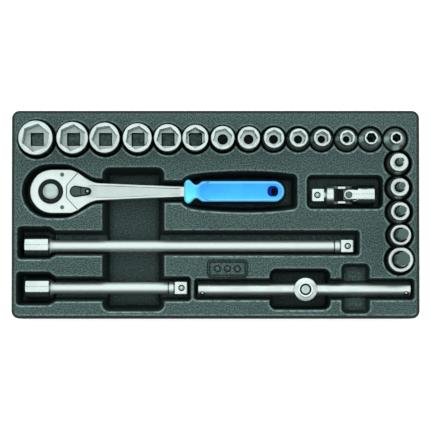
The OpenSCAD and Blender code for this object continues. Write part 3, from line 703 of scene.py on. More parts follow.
def wells():
    """Each pocket as (signed distance function, floor height, fillet at the floor, draft angle)."""
    out = []
    for _, x, _, _, r in SOCKETS:
        out.append((lambda X, Y, c=x, q=r: sd_circle(X, Y, c, SOCKET_Y, q), 20.0, 1.6, 5))
    for _, x, y, _, _, r in BITS:
        out.append((lambda X, Y, c=x, d=y, q=r: sd_circle(X, Y, c, d, q), 20.0, 1.2, 4))
    hw, gw = head_well_outline(), grip_well_outline()
    out.append((lambda X, Y: sd_poly(X, Y, hw), 20.0, 2.0, 9))
    out.append((lambda X, Y: sd_circle(X, Y, RAT_X, RAT_Y, 13.4), 7.5, 2.0, 4))
    out.append((lambda X, Y: sd_poly(X, Y, gw), 18.1, 2.5, 12))
    # x0, x1, y0, y1, corner radius, floor, fillet, draft
    for x0, x1, y0, y1, r, z, fil, dr in (
        (-92, -20, 9.3, 26.1, 1.5, 22.3, 1.5, 9),
        (-86.5, -39.5, -73.7, 36.0, 5.5, 16.0, 3.0, 12),
        (-125, 109.9, -31.1, -12.3, 2.5, 22.3, 1.5, 10),
        (-125, -19.0, -66.0, -47.5, 2.5, 22.3, 1.5, 10),
        (70.0, 127.7, 4.7, 30.1, 4.0, 20.0, 1.0, 5),
        (94.0, 111.0, 7.2, 23.2, 2.0, 18.6, 0.6, 3),
        (-16.4, 151.6, -65.1, -49.0, 2.5, 25.3, 1.5, 9),
        (41.4, 87.4, -72.4, -41.6, 5.0, 9.9, 1.5, 4),
        (96.2, 117.6, -75.4, -37.6, 4.0, 27.0, 3.0, 14),
    ):
        out.append((lambda X, Y, a=x0, b=x1, c=y0, d=y1, q=r: sd_rect(X, Y, a, b, c, d, q), z, fil, dr))
    # pockets of the female ends, with slanted shoulders; the outlines are 3 mm inside the real ones
    for core in (
        [(-148.5, -30.9), (-128.2, -30.9), (-124.0, -28.6),
         (-124.0, -14.8), (-128.2, -12.1), (-148.5, -12.1)],
        [(-149.3, -66.1), (-128.2, -66.1), (-123.6, -63.4),
         (-123.6, -50.2), (-128.2, -46.8), (-149.3, -46.8)],
    ):
        out.append((lambda X, Y, c=core: sd_poly(X, Y, c) + 3.0, 18.1, 2.0, 10))
    return out


RIM_R = 1.1


def profile_depth(level, floor, fillet, draft):
    """How far inside its outline a pocket has come down to level."""
    al = math.radians(draft)
    beta = math.pi / 2 - al
    t1 = RIM_R * math.tan(beta / 2)
    rim_end = DECK - RIM_R * (1 - math.sin(al))
    if level >= rim_end:
        return -t1 + math.sqrt(max(0.0, RIM_R ** 2 - (level - DECK + RIM_R) ** 2))
    h = DECK - floor
    t2 = fillet * math.tan(beta / 2)
    c = h * math.tan(al) + t2
    if level <= floor + fillet * (1 - math.sin(al)):
        return c - math.sqrt(max(0.0, fillet ** 2 - (floor + fillet - level) ** 2))
    return (DECK - level) * math.tan(al)


def contours(field, xs, ys):
    """Zero contours of a grid as closed lists of points."""
    inside = field > 0
    a, b = inside[:, :-1], inside[:, 1:]
    hy, hx = np.nonzero(a != b)
    fa, fb = field[hy, hx], field[hy, hx + 1]
    hpx = xs[hx] + (xs[hx + 1] - xs[hx]) * fa / (fa - fb)
    a, b = inside[:-1, :], inside[1:, :]
    vy, vx = np.nonzero(a != b)
    fa, fb = field[vy, vx], field[vy + 1, vx]
    vpy = ys[vy] + (ys[vy + 1] - ys[vy]) * fa / (fa - fb)
    pts = {}
    for y, x, px in zip(hy.tolist(), hx.tolist(), hpx.tolist()):
        pts[(0, y, x)] = (px, float(ys[y]))
    for y, x, py in zip(vy.tolist(), vx.tolist(), vpy.tolist()):
        pts[(1, y, x)] = (float(xs[x]), py)
    code = (inside[:-1, :-1] * 1 + inside[:-1, 1:] * 2 + inside[1:, 1:] * 4 + inside[1:, :-1] * 8)
    cy, cx = np.nonzero((code > 0) & (code < 15))
    links = {}
    # which sides of a grid square the contour joins, by the corners that are inside
    pairs = {1: "BL", 2: "BR", 3: "LR", 4: "RT", 6: "BT", 7: "LT", 8: "TL", 9: "BT", 11: "RT", 12: "LR",
             13: "BR", 14: "BL", 5: "BRTL", 10: "BLRT"}
    for y, x, k in zip(cy.tolist(), cx.tolist(), code[cy, cx].tolist()):
        side = {"B": (0, y, x), "T": (0, y + 1, x), "L": (1, y, x), "R": (1, y, x + 1)}
        s = pairs[k]
        for i in range(0, len(s), 2):
            p, q = side[s[i]], side[s[i + 1]]
            links.setdefault(p, []).append(q)
            links.setdefault(q, []).append(p)
    out, seen = [], set()
    for start in links:
        loop, cur = [], None if start in seen else start
        while cur is not None:
            seen.add(cur)
            loop.append(cur)
            cur = next((q for q in links[cur] if q not in seen), None)
        if len(loop) > 8:
            out.append([pts[k] for k in loop])
    return out


def clean_contours(field, xs, ys, tol):
    """Contours without needless points and without long segments."""
    loops = [simplify(loop, tol) for loop in contours(field, xs, ys)]
    return [dense(lp, 12.0) for lp in loops if len(lp) >= 3]


def simplify(loop, tol):
    """Drops points of a closed loop that lie within tol of the line between the kept ones."""
    arr = np.array(loop)
    n = len(arr)
    far = int(np.argmax(((arr - arr[0]) ** 2).sum(1)))
    keep = {0, far}
    stack = [(0, far), (far, n)]
    while stack:
        a, b = stack.pop()
        if b - a < 2:
            continue
        p, q = arr[a], arr[b % n]
        seg = arr[a + 1:b]
        d = q - p
        length = math.hypot(*d)
        if length < 1e-9:
            dist = np.hypot(*(seg - p).T)
        else:
            dist = np.abs((seg[:, 0] - p[0]) * d[1] - (seg[:, 1] - p[1]) * d[0]) / length
        i = int(np.argmax(dist))
        if dist[i] > tol:
            k = a + 1 + i
            keep.add(k)
            stack += [(a, k), (k, b)]
    return [tuple(arr[i]) for i in sorted(keep)]


def tray_height(x, y, pockets):
    """Height of the tray's skin at a point, found by halving."""
    z = DECK
    X, Y = np.array([x]), np.array([y])
    for fn, floor, fil, dr in pockets:
        s = float(fn(X, Y)[0])
        if s < profile_depth(DECK, floor, fil, dr):
            continue
        lo, hi = floor, DECK
        for _ in range(24):
            mid = (lo + hi) / 2
            if profile_depth(mid, floor, fil, dr) < s:
                hi = mid
            else:
                lo = mid
        z = min(z, hi)
    return z


def make_label():
    """Raised oblong frame with three dots, on a slightly wider and very low copy that carries painted shade round
    it.
    """
    label, line = Shape(), Shape()
    for shape, grow, lift, rim, steps in ((label, 0.0, 0.8, 1.15, 3), (line, 0.6, 0.06, 0.05, 2)):
        outer = round_rect(-6.3 - grow, 24.3 + grow, -48.0 - grow, -34.7 + grow, 3.0 + grow, 8)
        inner = round_rect(-4.5 + grow, 22.5 - grow, -46.2 + grow, -36.5 - grow, 1.8 - grow, 8)
        heights = (DECK + lift, DECK - 0.5, rim, 0.02)
        soft_prism(shape, dense(outer, 3.0), *heights, holes=[(dense(inner, 3.0), rim, None)], steps=steps)
        for x in (1.4, 9.0, 16.6):
            soft_prism(shape, disc(x, -41.35, 2.4 + grow, 40), *heights, steps=steps)
    return label, line


def make_tray():
    step, foot, none = 0.5, 1.7, -1e3
    xs = np.arange(-TRAY_HX - 1, TRAY_HX + 1.01, step) + 0.0137
    ys = np.arange(-TRAY_HY - 1, TRAY_HY + 1.01, step) + 0.0171
    gx, gy = np.meshgrid(xs, ys)
    ws = wells()
    dist = [w[0](gx, gy) for w in ws]
    floors = sorted({w[1] for w in ws})
    levels = [DECK - d for d in (0.015, 0.09, 0.25, 0.52, RIM_R * 0.9)] + [33.0, 31.0]
    levels += [z + up for z in floors for up in (0.01, 0.22, 0.8)]
    levels = sorted({round(v, 3) for v in levels}, reverse=True)
    feet = {round(z + up, 3) for z in floors for up in (0.01, 0.22)}
    pts, edges, heights, light_and_shade_paint = [], [], [], []

    def trace(lp, z, marks):
        s = len(pts)
        pts.extend(Vector(p) for p in lp)
        heights.extend([z] * len(lp))
        light_and_shade_paint.extend(marks if isinstance(marks, list) else [marks] * len(lp))
        edges.extend((s + i, s + (i + 1) % len(lp)) for i in range(len(lp)))

    # the two outer lines lie on the flat deck and carry a strip of painted highlight beside each pocket
    lines = [(DECK, 0.95, 0.0), (DECK, 0.4, 1.0)] + [(z, 0.0, float(z > DECK - 0.05)) for z in levels]
    for level, beyond, mark in lines:
        f = np.full(gx.shape, none)
        for (_, floor, fil, dr), d in zip(ws, dist):
            if floor < level:
                np.maximum(f, d - profile_depth(level, floor, fil, dr) + beyond, out=f)
        for lp in clean_contours(f, xs, ys, 0.025):
            # painted highlight, strongest along the far side of each pocket
            far_side = [mark * (0.45 + 0.55 * max(0.0, q.y)) for q in outward(lp)]
            # lines just above each floor carry painted shade at the foot of the walls
            trace(lp, level, far_side if mark else -0.55 if level in feet else 0.0)
    # a line just inside each floor, so that the painted shade at the foot of the walls fades out
    for z in floors:
        own, deep = np.full(gx.shape, none), np.full(gx.shape, none)
        for (_, floor, fil, dr), d in zip(ws, dist):
            if floor == z:
                np.maximum(own, d - profile_depth(z + 0.01, floor, fil, dr) - foot, out=own)
            elif floor < z:
                np.maximum(deep, d + foot, out=deep)
        for lp in clean_contours(np.minimum(own, -deep), xs, ys, 0.05):
            trace(lp, z, 0.0)
    # the turned-over edge of the deck, with painted shade on its outside and a painted highlight just inside,
    # strongest along the front
    edge_r = 2.2
    for k, inward in enumerate((0, 0, 0, 0, 0, 0.5, 1.3)):
        phi = math.pi / 2 * min(k, 4) / 4
        g = edge_r * (1 - math.cos(phi)) + inward
        lp = dense(round_rect(-TRAY_HX - 1.2 + g, TRAY_HX + 1.0 - g, -TRAY_HY - 0.5 + g, TRAY_HY + 0.8 - g,
                              TRAY_R + 0.8 - g, 8), 12.0)
        z = DECK - edge_r * (1 - math.sin(phi))
        if k == 0:
            outer, z0 = lp, z
        front = [1.0 if p[1] < -TRAY_HY + 4 else 0.2 for p in lp]
        trace(lp, z, (-1.0, -1.0, -1.0, -1.0, -0.5, front, 0.0)[k])

    v, _, f, src, *_ = delaunay_2d_cdt(pts, edges, [], 0, 1e-5)
    verts, painted_light_marks = [], []
    for p, s in zip(v, src):
        z = min(heights[i] for i in s) if s else tray_height(p.x, p.y, ws)
        verts.append((p.x, p.y, z))
        painted_light_marks.append(light_and_shade_paint[s[0]] if s else 0.0)
    cen = np.array([[sum(v[i].x for i in t) / 3, sum(v[i].y for i in t) / 3] for t in f])
    keep = inside_many(cen, outer)
    shape = Shape()
    shape.add(verts, [tuple(t) for t, k in zip(f, keep) if k], painted_light_marks)
    # skirt down to the closing panel, a little wider at its foot, with painted shade that is darkest just under
    # the deck's edge
    rows = [(outer, z0)]
    flare = 0.4
    for t, z in ((0.12, z0 - 3), (0.5, z0 - 17), (1.0, BASE_T + 0.05)):
        rows.append(([(x * (1 + flare * t / TRAY_HX), y * (1 + flare * t / TRAY_HY)) for x, y in outer], z))
    loops = [[(x, y, z) for x, y in lp] for lp, z in reversed(rows)]
    shape.rings(loops, cap0=True, cap1=False, marks=[0.0, 0.0, -0.5, -1.0])
    # pegs that hold the sockets; a peg top seen through a drive square gets a painted highlight, one seen through
    # a small round hole near-black painted shade
    half, peg_top = 4.5, 30.5
    for size, x, y in [(s[0], s[1], SOCKET_Y) for s in SOCKETS] + [b[:3] for b in BITS]:
        peg = Shape()
        outline = dense(round_rect(x - half, x + half, y - half, y + half, 0.7, 4), 3.0)
        soft_prism(peg, outline, peg_top, 19.6, 0.7, 0.05, steps=3)
        seen = 0.5 if size >= SQUARE_THROUGH else -1.0
        shape.add(peg.v, peg.f, [seen if p[2] > peg_top - 0.1 else 0.0 for p in peg.v])
    label, line = make_label()
    # painted shade round the label and on its sides
    shape.add(line.v, line.f, [-0.8] * len(line.v))
    shape.add(label.v, label.f, [0.0 if p[2] > DECK + 0.78 else -1.0 for p in label.v])
    shape.make("tray_moulding", "tray", "tray", "tray_plastic", ["tray_shell"], 35)


# ------------------------------------------------------------------ sockets and bits
def make_socket(size, x, od, turn):
    n = 96
    t = math.radians(turn)
    r, vertex = od / 2, size / math.sqrt(3)
    lip = 0.42 if size > 8 else 0.2
    L = SOCKET_LEN
    cone = od < 2 * DRIVE_END_R
    if cone:
        prof = rounded([
            (6.4, 0, 0), (DRIVE_END_R, 0, 0.7), (DRIVE_END_R, DRIVE_END_H, 1.0),
            (r + 0.15, DRIVE_END_H + CONE_H, 1.8), (r, L, 0.35), (vertex + lip, L, 0),
        ], 5)
    else:
        prof = rounded([(6.4, 0, 0), (r, 0, 0.8), (r, L, 0.5), (vertex + lip, L, 0)], 5)
    # the square's points are numbered like the hexagon's so that the faces between them stay untwisted
    turn_sq = t + TAU / n * round((TAU / 8 - t) / (TAU / n))
    square = lambda half, z, c: square_loop(half, z, n, turn_sq, c)
    # painted shade inside the hexagon and the drive hole, light in the big sockets and deep in the smallest
    inner = 0.34 if size >= SQUARE_THROUGH else 0.2 if size >= 8 else 0.95
    loops = [square(FSQ / 2 + 0.3, 0, FSQ_CORNER)] + lathe_loops(prof, n, t)
    marks = [0.0] + [-1.0 if cone and DRIVE_END_H - 0.5 < z < L - 1 else 0.0 for _, z in prof]
    for d in (0.04, 0.1, 0.18, 0.28, 0.42):
        loops.append(hex_loop(size + 0.1, L - d, t, n, vertex + 0.02, vertex + lip - d * 5))
        marks.append(0.0)
    zf = L - HEX_DEPTH
    for z, mark in ((L - 0.5, inner * 0.8), (zf + 0.5, inner * 1.15), (zf + 0.2, inner)):
        loops.append(hex_loop(size + 0.1, z, t, n, vertex + 0.02))
        marks.append(min(1.0, mark))
    loops.append(hex_loop(size - 0.35, zf, t, n))
    marks.append(inner)
    if size >= SQUARE_THROUGH:
        inward = [square(FSQ / 2 + 0.2, zf, 6.85), square(FSQ / 2, zf - 0.25, FSQ_CORNER),
                  square(FSQ / 2, 0.35, FSQ_CORNER)]
    else:
        rb = size * 0.3
        inward = [circle(rb + 0.2, zf, n, t), circle(rb, zf - 0.25, n, t), circle(rb, SQUARE_DEPTH, n, t),
                  square(FSQ / 2, SQUARE_DEPTH - 0.01, FSQ_CORNER), square(FSQ / 2, 0.35, FSQ_CORNER)]
    loops += inward
    marks += [inner] + [0.9] * (len(inward) - 1)
    s = Shape().rings(moved(loops, x, SOCKET_Y, SOCKET_BOT), closed=True, marks=marks)
    tag = f"{size:02d}"
    s.make(f"hex_socket_{tag}", "socket", f"socket_{tag}_body", "chrome_socket", [f"socket_{tag}"], 30)


def make_bit_socket(size, x, y, face, turn):
    n = 96
    rf, rd = face / 2, max(DRIVE_END_R, face / 2)
    rec = size / math.sqrt(3) + 0.9
    waist = [(rd, DRIVE_END_H, 0.5), (rf, DRIVE_END_H + 3, 0.8)] if rd > rf + 0.2 else []
    prof = rounded([
        (6.4, 0, 0), (rd, 0, 0.7), *waist, (rf if waist else rd, HOLDER_LEN, 0.6), (rec, HOLDER_LEN, 0.25),
        (rec, HOLDER_LEN - 1.4, 0.1), (size / 2 - 0.3, HOLDER_LEN - 1.4, 0),
    ], 4)
    loops = [square_loop(FSQ / 2, SQUARE_DEPTH, n, 0, 6.3), square_loop(FSQ / 2, 0.35, n, 0, 6.3),
             square_loop(FSQ / 2 + 0.35, 0, n, 0, 6.4)]
    loops += lathe_loops(prof, n)
    # painted shade in the recess round the bit
    marks = [0.0] * 3 + [1.0 if r < rec + 0.02 and z > HOLDER_LEN - 2 else 0.0 for r, z in prof]
    tag = f"{size:02d}"
    Shape().rings(moved(loops, x, y, SOCKET_BOT), marks=marks).make(
        f"bit_holder_{tag}", "satin", f"bit_socket_{tag}", "satin_holder", [f"holder_{tag}"], 30)
    t = math.radians(turn)
    top = BIT_GRIP + BIT_SHOW
    corner = size / math.sqrt(3) * 0.985
    rows = [(0, corner), (top - 1.8, corner), (top - 1.3, corner)]
    rows += [(top - d, corner - (1.3 - d) * 0.75) for d in (1.0, 0.6, 0.25)]
    rows += [(top, size / 2 - 0.35), (top, size / 2 - 0.6)]
    rows = [hex_loop(size, z, t, 48, r) for z, r in rows]
    # painted highlight: a paler, smoother band along the chamfer at the tip
    painted_highlight_and_shade = [0.0, 0.0, 0.5, 0.8, 0.6, 0.2, 0.0, 0.0]
    Shape().rings(moved(rows, x, y, SOCKET_BOT + HOLDER_LEN - BIT_GRIP), marks=painted_highlight_and_shade).make(
        f"hex_bit_{tag}", "bit", f"bit_socket_{tag}", "dark_bit", [f"bit_{tag}"], 25)


# ------------------------------------------------------------------ ratchet
COVER_T, COVER_GAP = 2.0, 0.42
SHANK_PANEL_X = (-98.5, -27.0)
HEAD_CX, HEAD_HW = RAT_X + 1.1, 16.9
SIDE = [(-113.5, 16.9), (-110.5, 16.75), (-107.8, 15.8), (-105.3, 14.4), (-102, 12.3), (-99, 10.35),
        (-96, 8.7), (-93, 7.55), (-90, 6.95), (-80, 6.45), (-60, 5.55), (-40, 4.75), (-25, 4.2), (-22, 4.1)]
# the bent joint line between cover and body, relative to the ratchet's axis
SEAM = [(-100.4, 20.0), (-113.3, 5.9), (-114.1, 4.7), (-114.4, 3.4)]
SEAM += [(x, -y) for x, y in reversed(SEAM)]


def upper_side():
    """Upper edge of head and shank from the crown of the head to the tang."""
    return arc(HEAD_CX, 0, HEAD_HW, 180, 90, 30) + [(-119, 16.9)] + spline(SIDE, 5)


def clip_at_seam():
    """Splits the upper edge where the joint line crosses it: (part by the cover, part by the body)."""
    edge = upper_side()
    (x0, y0), (x1, y1) = SEAM[0], SEAM[1]
    line = lambda x, y: (y - y0) * (x1 - x0) - (x - x0) * (y1 - y0)
    for i in range(10, len(edge) - 1):
        a, b = line(*edge[i]), line(*edge[i + 1])
        if a * b <= 0 and edge[i][0] > -116:
            t = a / (a - b)
            hit = tuple(p + t * (q - p) for p, q in zip(edge[i], edge[i + 1]))
            return edge[:i + 1] + [hit], [hit] + edge[i + 1:]
    raise RuntimeError("joint line misses the edge")


def spaced(points):
    """Without the points within 0.9 mm of the last one."""
    return [p for p in points[:-1] if math.dist(p, points[-1]) > 0.9] + [points[-1]]


def panel_half(x):
    """Half width of the shallow panel along the shank."""
    return 4.75 - 2.0 * smoothstep(-90, -26, x)


def body_top(x, y):
    """Height of the forging's upper side: flat head, easing down to the shank with its sunken panel."""
    z = HEAD_TOP - (HEAD_TOP - SHANK_Z - SHANK_T / 2) * smoothstep(-104.5, -88, x)
    inner = smoothstep(0.0, 0.45, min(panel_half(x) - abs(y - RAT_Y), (x + 99.0) / 8, -27.0 - x))
    return z - 0.32 * inner


def body_bottom(x, _):
    return HEAD_BOT + (SHANK_Z - SHANK_T / 2 - HEAD_BOT) * smoothstep(-103.5, -90, x)


def make_forging(edge, seam):
    """Head and shank; edge is the upper edge of the part to the right of the joint line."""
    whole = upper_side()
    low = [(x, y + RAT_Y) for x, y in reversed(whole)] + [(x, -y + RAT_Y) for x, y in whole[1:]]
    under_cover = [p for p in low if p[0] <= -103]
    shape = Shape()
    soft_prism(shape, dense(under_cover, 3.0), HEAD_TOP - COVER_T - 0.02, HEAD_BOT, 0.05, 0.9, steps=4)
    # painted shade in the gap under the cover: the top of the forging beneath it is marked dark
    shape.e = [1.0 if v[2] > HEAD_TOP - 2.2 else 0.0 for v in shape.v]
    upper = [(edge[0][0] + COVER_GAP * 0.75, edge[0][1] - COVER_GAP * 0.4)] + edge[1:]
    n_side = len(upper)
    mid = [(x, y + RAT_Y) for x, y in dense([(x + COVER_GAP, y) for x, y in seam], 2.0, False)]
    loop = [(x, y + RAT_Y) for x, y in reversed(upper)] + mid + [(x, -y + RAT_Y) for x, y in upper]
    radii = [1.0] * n_side + [0.22] * len(mid) + [1.0] * n_side
    radii[n_side - 1] = radii[n_side + len(mid)] = 0.3
    x0, x1 = SHANK_PANEL_X
    panel = []
    for off in (0.0, 0.45):
        top = [(x, panel_half(x) - off) for x in np.linspace(x0, x1 - off, 30)]
        panel.append([(x, -y + RAT_Y) for x, y in top] + [(x, y + RAT_Y) for x, y in reversed(top)])
    soft_prism(shape, loop, body_top, body_bottom, radii, 0.9, steps=4, spacing=2.2, extra=panel)
    # the sunken panel along the shank a little darker
    for i, (x, y, z) in enumerate(shape.v):
        if z > SHANK_Z + 2 and x0 + 0.5 < x < x1 - 0.5 and abs(y - RAT_Y) < panel_half(x) - 0.35:
            shape.e[i] = 0.16
    shape.make("ratchet_forging", "body", "ratchet", "satin_chrome", ["ratchet_body"], 32)


def make_cover(edge, seam):
    lp = [(x, y + RAT_Y) for x, y in reversed(edge)] + [(x, -y + RAT_Y) for x, y in edge[1:]]
    mid = [(x, y + RAT_Y) for x, y in reversed(dense(seam, 2.0, False))]
    radii = [1.0] * len(lp) + [0.22] * len(mid)
    radii[0] = radii[len(lp) - 1] = 0.3
    holes = [(disc(RAT_X, RAT_Y, 9.42, 72), 0.35, None)]
    holes += [(disc(-117.5, RAT_Y + y, 1.55), 0.12, None) for y in (12.9, -12.1)]
    shape = Shape()
    soft_prism(shape, lp + mid, HEAD_TOP, HEAD_TOP - COVER_T, radii, 0.05, holes=holes, steps=4)
    shape.make("ratchet_cover_plate", "cover", "ratchet", "cover_chrome", ["ratchet_cover"], 32)


def make_dial_and_button():
    r_in, r_out, low, high = 6.15, 9.3, 33.3, 35.95
    prof = rounded([(r_in, low, 0), (r_out, low, 0.1), (r_out, high, 0.5), (8.5, high, 0), (7.2, high, 0),
                    (r_in, high, 0.5), (r_in, low, 0)], 4)[:-1]
    # painted shade: the sides and rounded edges of the ring darker than its flat top
    marks = [0.0 if 7.0 < r < 8.7 else 1.0 for r, _ in prof]
    Shape().rings(moved(lathe_loops(prof), RAT_X, RAT_Y, 0), closed=True, marks=marks).make(
        "dial", "dial", "ratchet_drive", "black_dial", ["dial_ring"], 30)
    # the button's dome is part of a ball
    crown_r, crown_z, dome_r, rise = 6.0, 35.9, 5.7, 1.35
    ball_r = (dome_r ** 2 + rise ** 2) / (2 * rise)
    prof = [(2.0, 18.0), (2.0, 30.5), (dome_r, 30.5), (crown_r, 30.8), (crown_r, crown_z - 0.35),
            (5.93, crown_z - 0.12)]
    prof += [(r, crown_z + math.sqrt(ball_r ** 2 - r * r) - ball_r + rise)
             for r in (dome_r, 5, 4.2, 3.4, 2.6, 1.8, 1.0, 0.3)]
    Shape().rings(moved(lathe_loops(prof), RAT_X, RAT_Y, 0)).make(
        "button", "button", "quick_release", "button_chrome", ["release_button"], 30)


def make_lever():
    """Reversing lever: round boss, lower tail with a pin."""
    reach = 9.2
    pin_x, z0 = LEVER_X + reach, HEAD_TOP + 0.15
    sides = arc(0, 0, 4.4, 78, 282, 26) + arc(reach, 0, 3.0, 282, 438, 18)
    outline = [(LEVER_X + x, RAT_Y + y) for x, y in dense(sides, 1.5)]

    def lever_top(x, y):
        return z0 + 2.6 - 0.8 * smoothstep(LEVER_X + 3.6, LEVER_X + 4.3, x)

    shape = Shape()
    soft_prism(shape, outline, lever_top, z0, 1.2, 0.1, holes=[(disc(pin_x, RAT_Y, 1.55), 0.15, 0.7)],
               steps=4, spacing=0.6)
    # painted shade on the steep sides, round the pin and along the step between boss and tail
    for i, (x, y, z) in enumerate(shape.v):
        steep = z < lever_top(x, y) - 0.01 or 0.9 < math.hypot(x - pin_x, y - RAT_Y) < 2.1
        shape.e[i] = 1.0 if steep or abs(x - LEVER_X - 3.95) < 0.3 else 0.0
    shape.rings(moved(lathe_loops([(2.15, 25.8), (2.15, 36.2)], 48), LEVER_X, RAT_Y, 0))
    shape.make("lever", "lever", "lever", "black_lever", ["reversing_lever"], 32)
    prof = rounded([(0.9, 36.0, 0), (0.9, 37.6, 0.3), (0.2, 37.75, 0)], 3)
    Shape().rings(moved(lathe_loops(prof, 32), pin_x, RAT_Y, 0)).make(
        "lever_rivet", "button", "lever", "pin_steel", ["lever_pin"], 30)


def make_ratchet():
    left, right = clip_at_seam()
    seam = SEAM[1:-1]
    make_forging(list(reversed(spaced(list(reversed(right))))), seam)
    make_cover(spaced(left), seam)
    make_dial_and_button()
    make_lever()
    make_grip()


# upper edge of the grip, and half its thickness, along its length
GRIP_SIDE = [(-24.2, 5.4), (-23.7, 7.1), (-22.6, 8.4), (-21.1, 9.05), (-19.7, 8.6), (-18.1, 7.1),
             (-16.6, 5.75), (-15.0, 5.2), (-13.5, 5.5), (-12.1, 6.5), (-11.0, 7.3), (-9.4, 7.75), (-6, 7.8),
             (20, 7.8), (44.8, 7.8)]
GRIP_HEIGHT = [(-24.3, 5.6), (-23, 7.2), (-20.5, 7.6), (-16.8, 6.5), (-14, 6.7), (-10, 8.4), (-4, 9.6),
               (6, 10.0), (34, 10.0), (44, 9.3), (49, 8.1), (52.6, 6.4), (54.4, 4.5)]


def grip_half_height(x):
    xs, hs = zip(*GRIP_HEIGHT)
    return float(np.interp(x, xs, hs))


def make_grip():
    half = spline(GRIP_SIDE, 4) + arc(44.8, 0, 7.8, 88, 0, 16)
    loop = [(x, -y + RAT_Y) for x, y in half] + [(x, y + RAT_Y) for x, y in list(reversed(half))[1:]]
    top = lambda x, y: SHANK_Z + grip_half_height(x)
    bot = lambda x, y: SHANK_Z - grip_half_height(x)
    hole = lambda x0, x1, half_w, r: dense(round_rect(x0, x1, RAT_Y - half_w, RAT_Y + half_w, r, 6), 5)
    recess, through, clear = hole(39.6, 47.8, 4.0, 3.2), hole(42.6, 47.8, 2.6, 1.4), hole(38.9, 48.5, 4.7, 3.6)
    # edge marks give the pale rim, partly painted highlight, and the navy painted shade in the hang-hole recess
    shape = Shape()
    soft_prism(shape, dense(loop, 2.5), top, bot, 1.5, 1.5, holes=[(recess, 0.5, 5.0, through)], steps=5,
               spacing=2.5, edge_mark=True)
    shape.make("grip_blue_core", "grip", "ratchet", "blue_grip", ["grip_core"], 34)
    # dark side panels
    out = round_rect(-17.6, 54, RAT_Y - 9.4, RAT_Y + 9.4, 9.2, 14)
    side_half = lambda x: min(7.2, grip_half_height(x) - 1.0)
    side_top = lambda x, y: SHANK_Z + side_half(x)
    side_bot = lambda x, y: SHANK_Z - side_half(x)
    shape = Shape()
    soft_prism(shape, dense(out, 3.0), side_top, side_bot, 3.6, 3.6, holes=[(clear, 0.05, None)], steps=6,
               spacing=4)
    shape.make("grip_side_panels", "sides", "ratchet", "navy_grip", ["grip_sides"], 40)


# ------------------------------------------------------------------ bars and handle
DRIVE_LEN = 9.6
T_X0, T_LEN = -13.6, 163.0


def drive_end_loops(z0, n=96):
    """Male square from z0 outwards, edges barely broken, end chamfered."""
    h, z1 = SQ / 2, z0 + DRIVE_LEN
    rows = ((h - 0.3, z0, 6.2), (h, z0 + 0.3, 6.5), (h, z1 - 0.8, 6.5), (h - 0.12, z1 - 0.45, 6.3),
            (h - 0.5, z1, 5.9))
    return [square_loop(half, z, n, 0, corner_r) for half, z, corner_r in rows]


def make_extension(name, x0, y, length, body, replaced):
    n = 96
    rf, rs = 8.5, 4.5
    loops = [square_loop(FSQ / 2, 11.0, n, 0, FSQ_CORNER), square_loop(FSQ / 2, 0.4, n, 0, FSQ_CORNER),
             square_loop(FSQ / 2 + 0.4, 0, n, 0, 6.9)]
    prof = rounded([
        (7.4, 0, 0), (rf, 0, 0.7), (rf, 18.2, 0.5), (rs + 0.9, 19.6, 1.0), (rs, 22.0, 2.0),
        (rs, length - 15.0, 0.25), (rs - 0.35, length - 14.9, 0.1), (rs - 0.35, length - 14.2, 0.1),
        (rs + 0.35, length - 14.0, 0.25), (rs + 0.35, length - 10.5, 0.25),
        (rs - 0.4, length - 10.3, 0.1), (rs - 0.4, length - DRIVE_LEN, 0),
    ], 5)
    square = drive_end_loops(length - DRIVE_LEN, n)
    # the female end is plain, the rod and the square are satin, the two necks by the square carry painted shade
    marks = [0.0] * 3
    marks += [-0.8 if r < rs - 0.2 and z > 30 else smoothstep(18.6, 19.6, z) for r, z in prof]
    marks += [1.0] * len(square)
    Shape().rings(along_x(loops + lathe_loops(prof, n) + square, x0, y, BAR_Z), marks=marks).make(
        name, "bar", body, "bar_chrome", [replaced], 30)
    # painted shadow round the retaining ball
    paint_ball_gap_shadow(name + "_seat", body, "bar_chrome", (x0 + length - 4.4, y, BAR_Z), None)


def paint_ball_gap_shadow(name, body, slot, centre, bar_radius, tilt=0.0, r_in=1.5, r_out=2.6):
    """A dark ring of painted shadow round a retaining ball, where the gap round the ball shows dark; on a round
    bar it follows the bar's surface.
    """
    rows = []
    for r, lift in ((r_in, -0.15), (r_in, 0.05), (r_out - 0.1, 0.05), (r_out, -0.15)):
        ring = [(u, v, (math.sqrt(bar_radius ** 2 - v * v) if bar_radius else SQ / 2) + lift)
                for u, v in disc(0, 0, r, 40)]
        rows.append(about_x(ring, centre, tilt))
    Shape().rings(rows, closed=True).make(name, "ring", body, slot, (), 40)


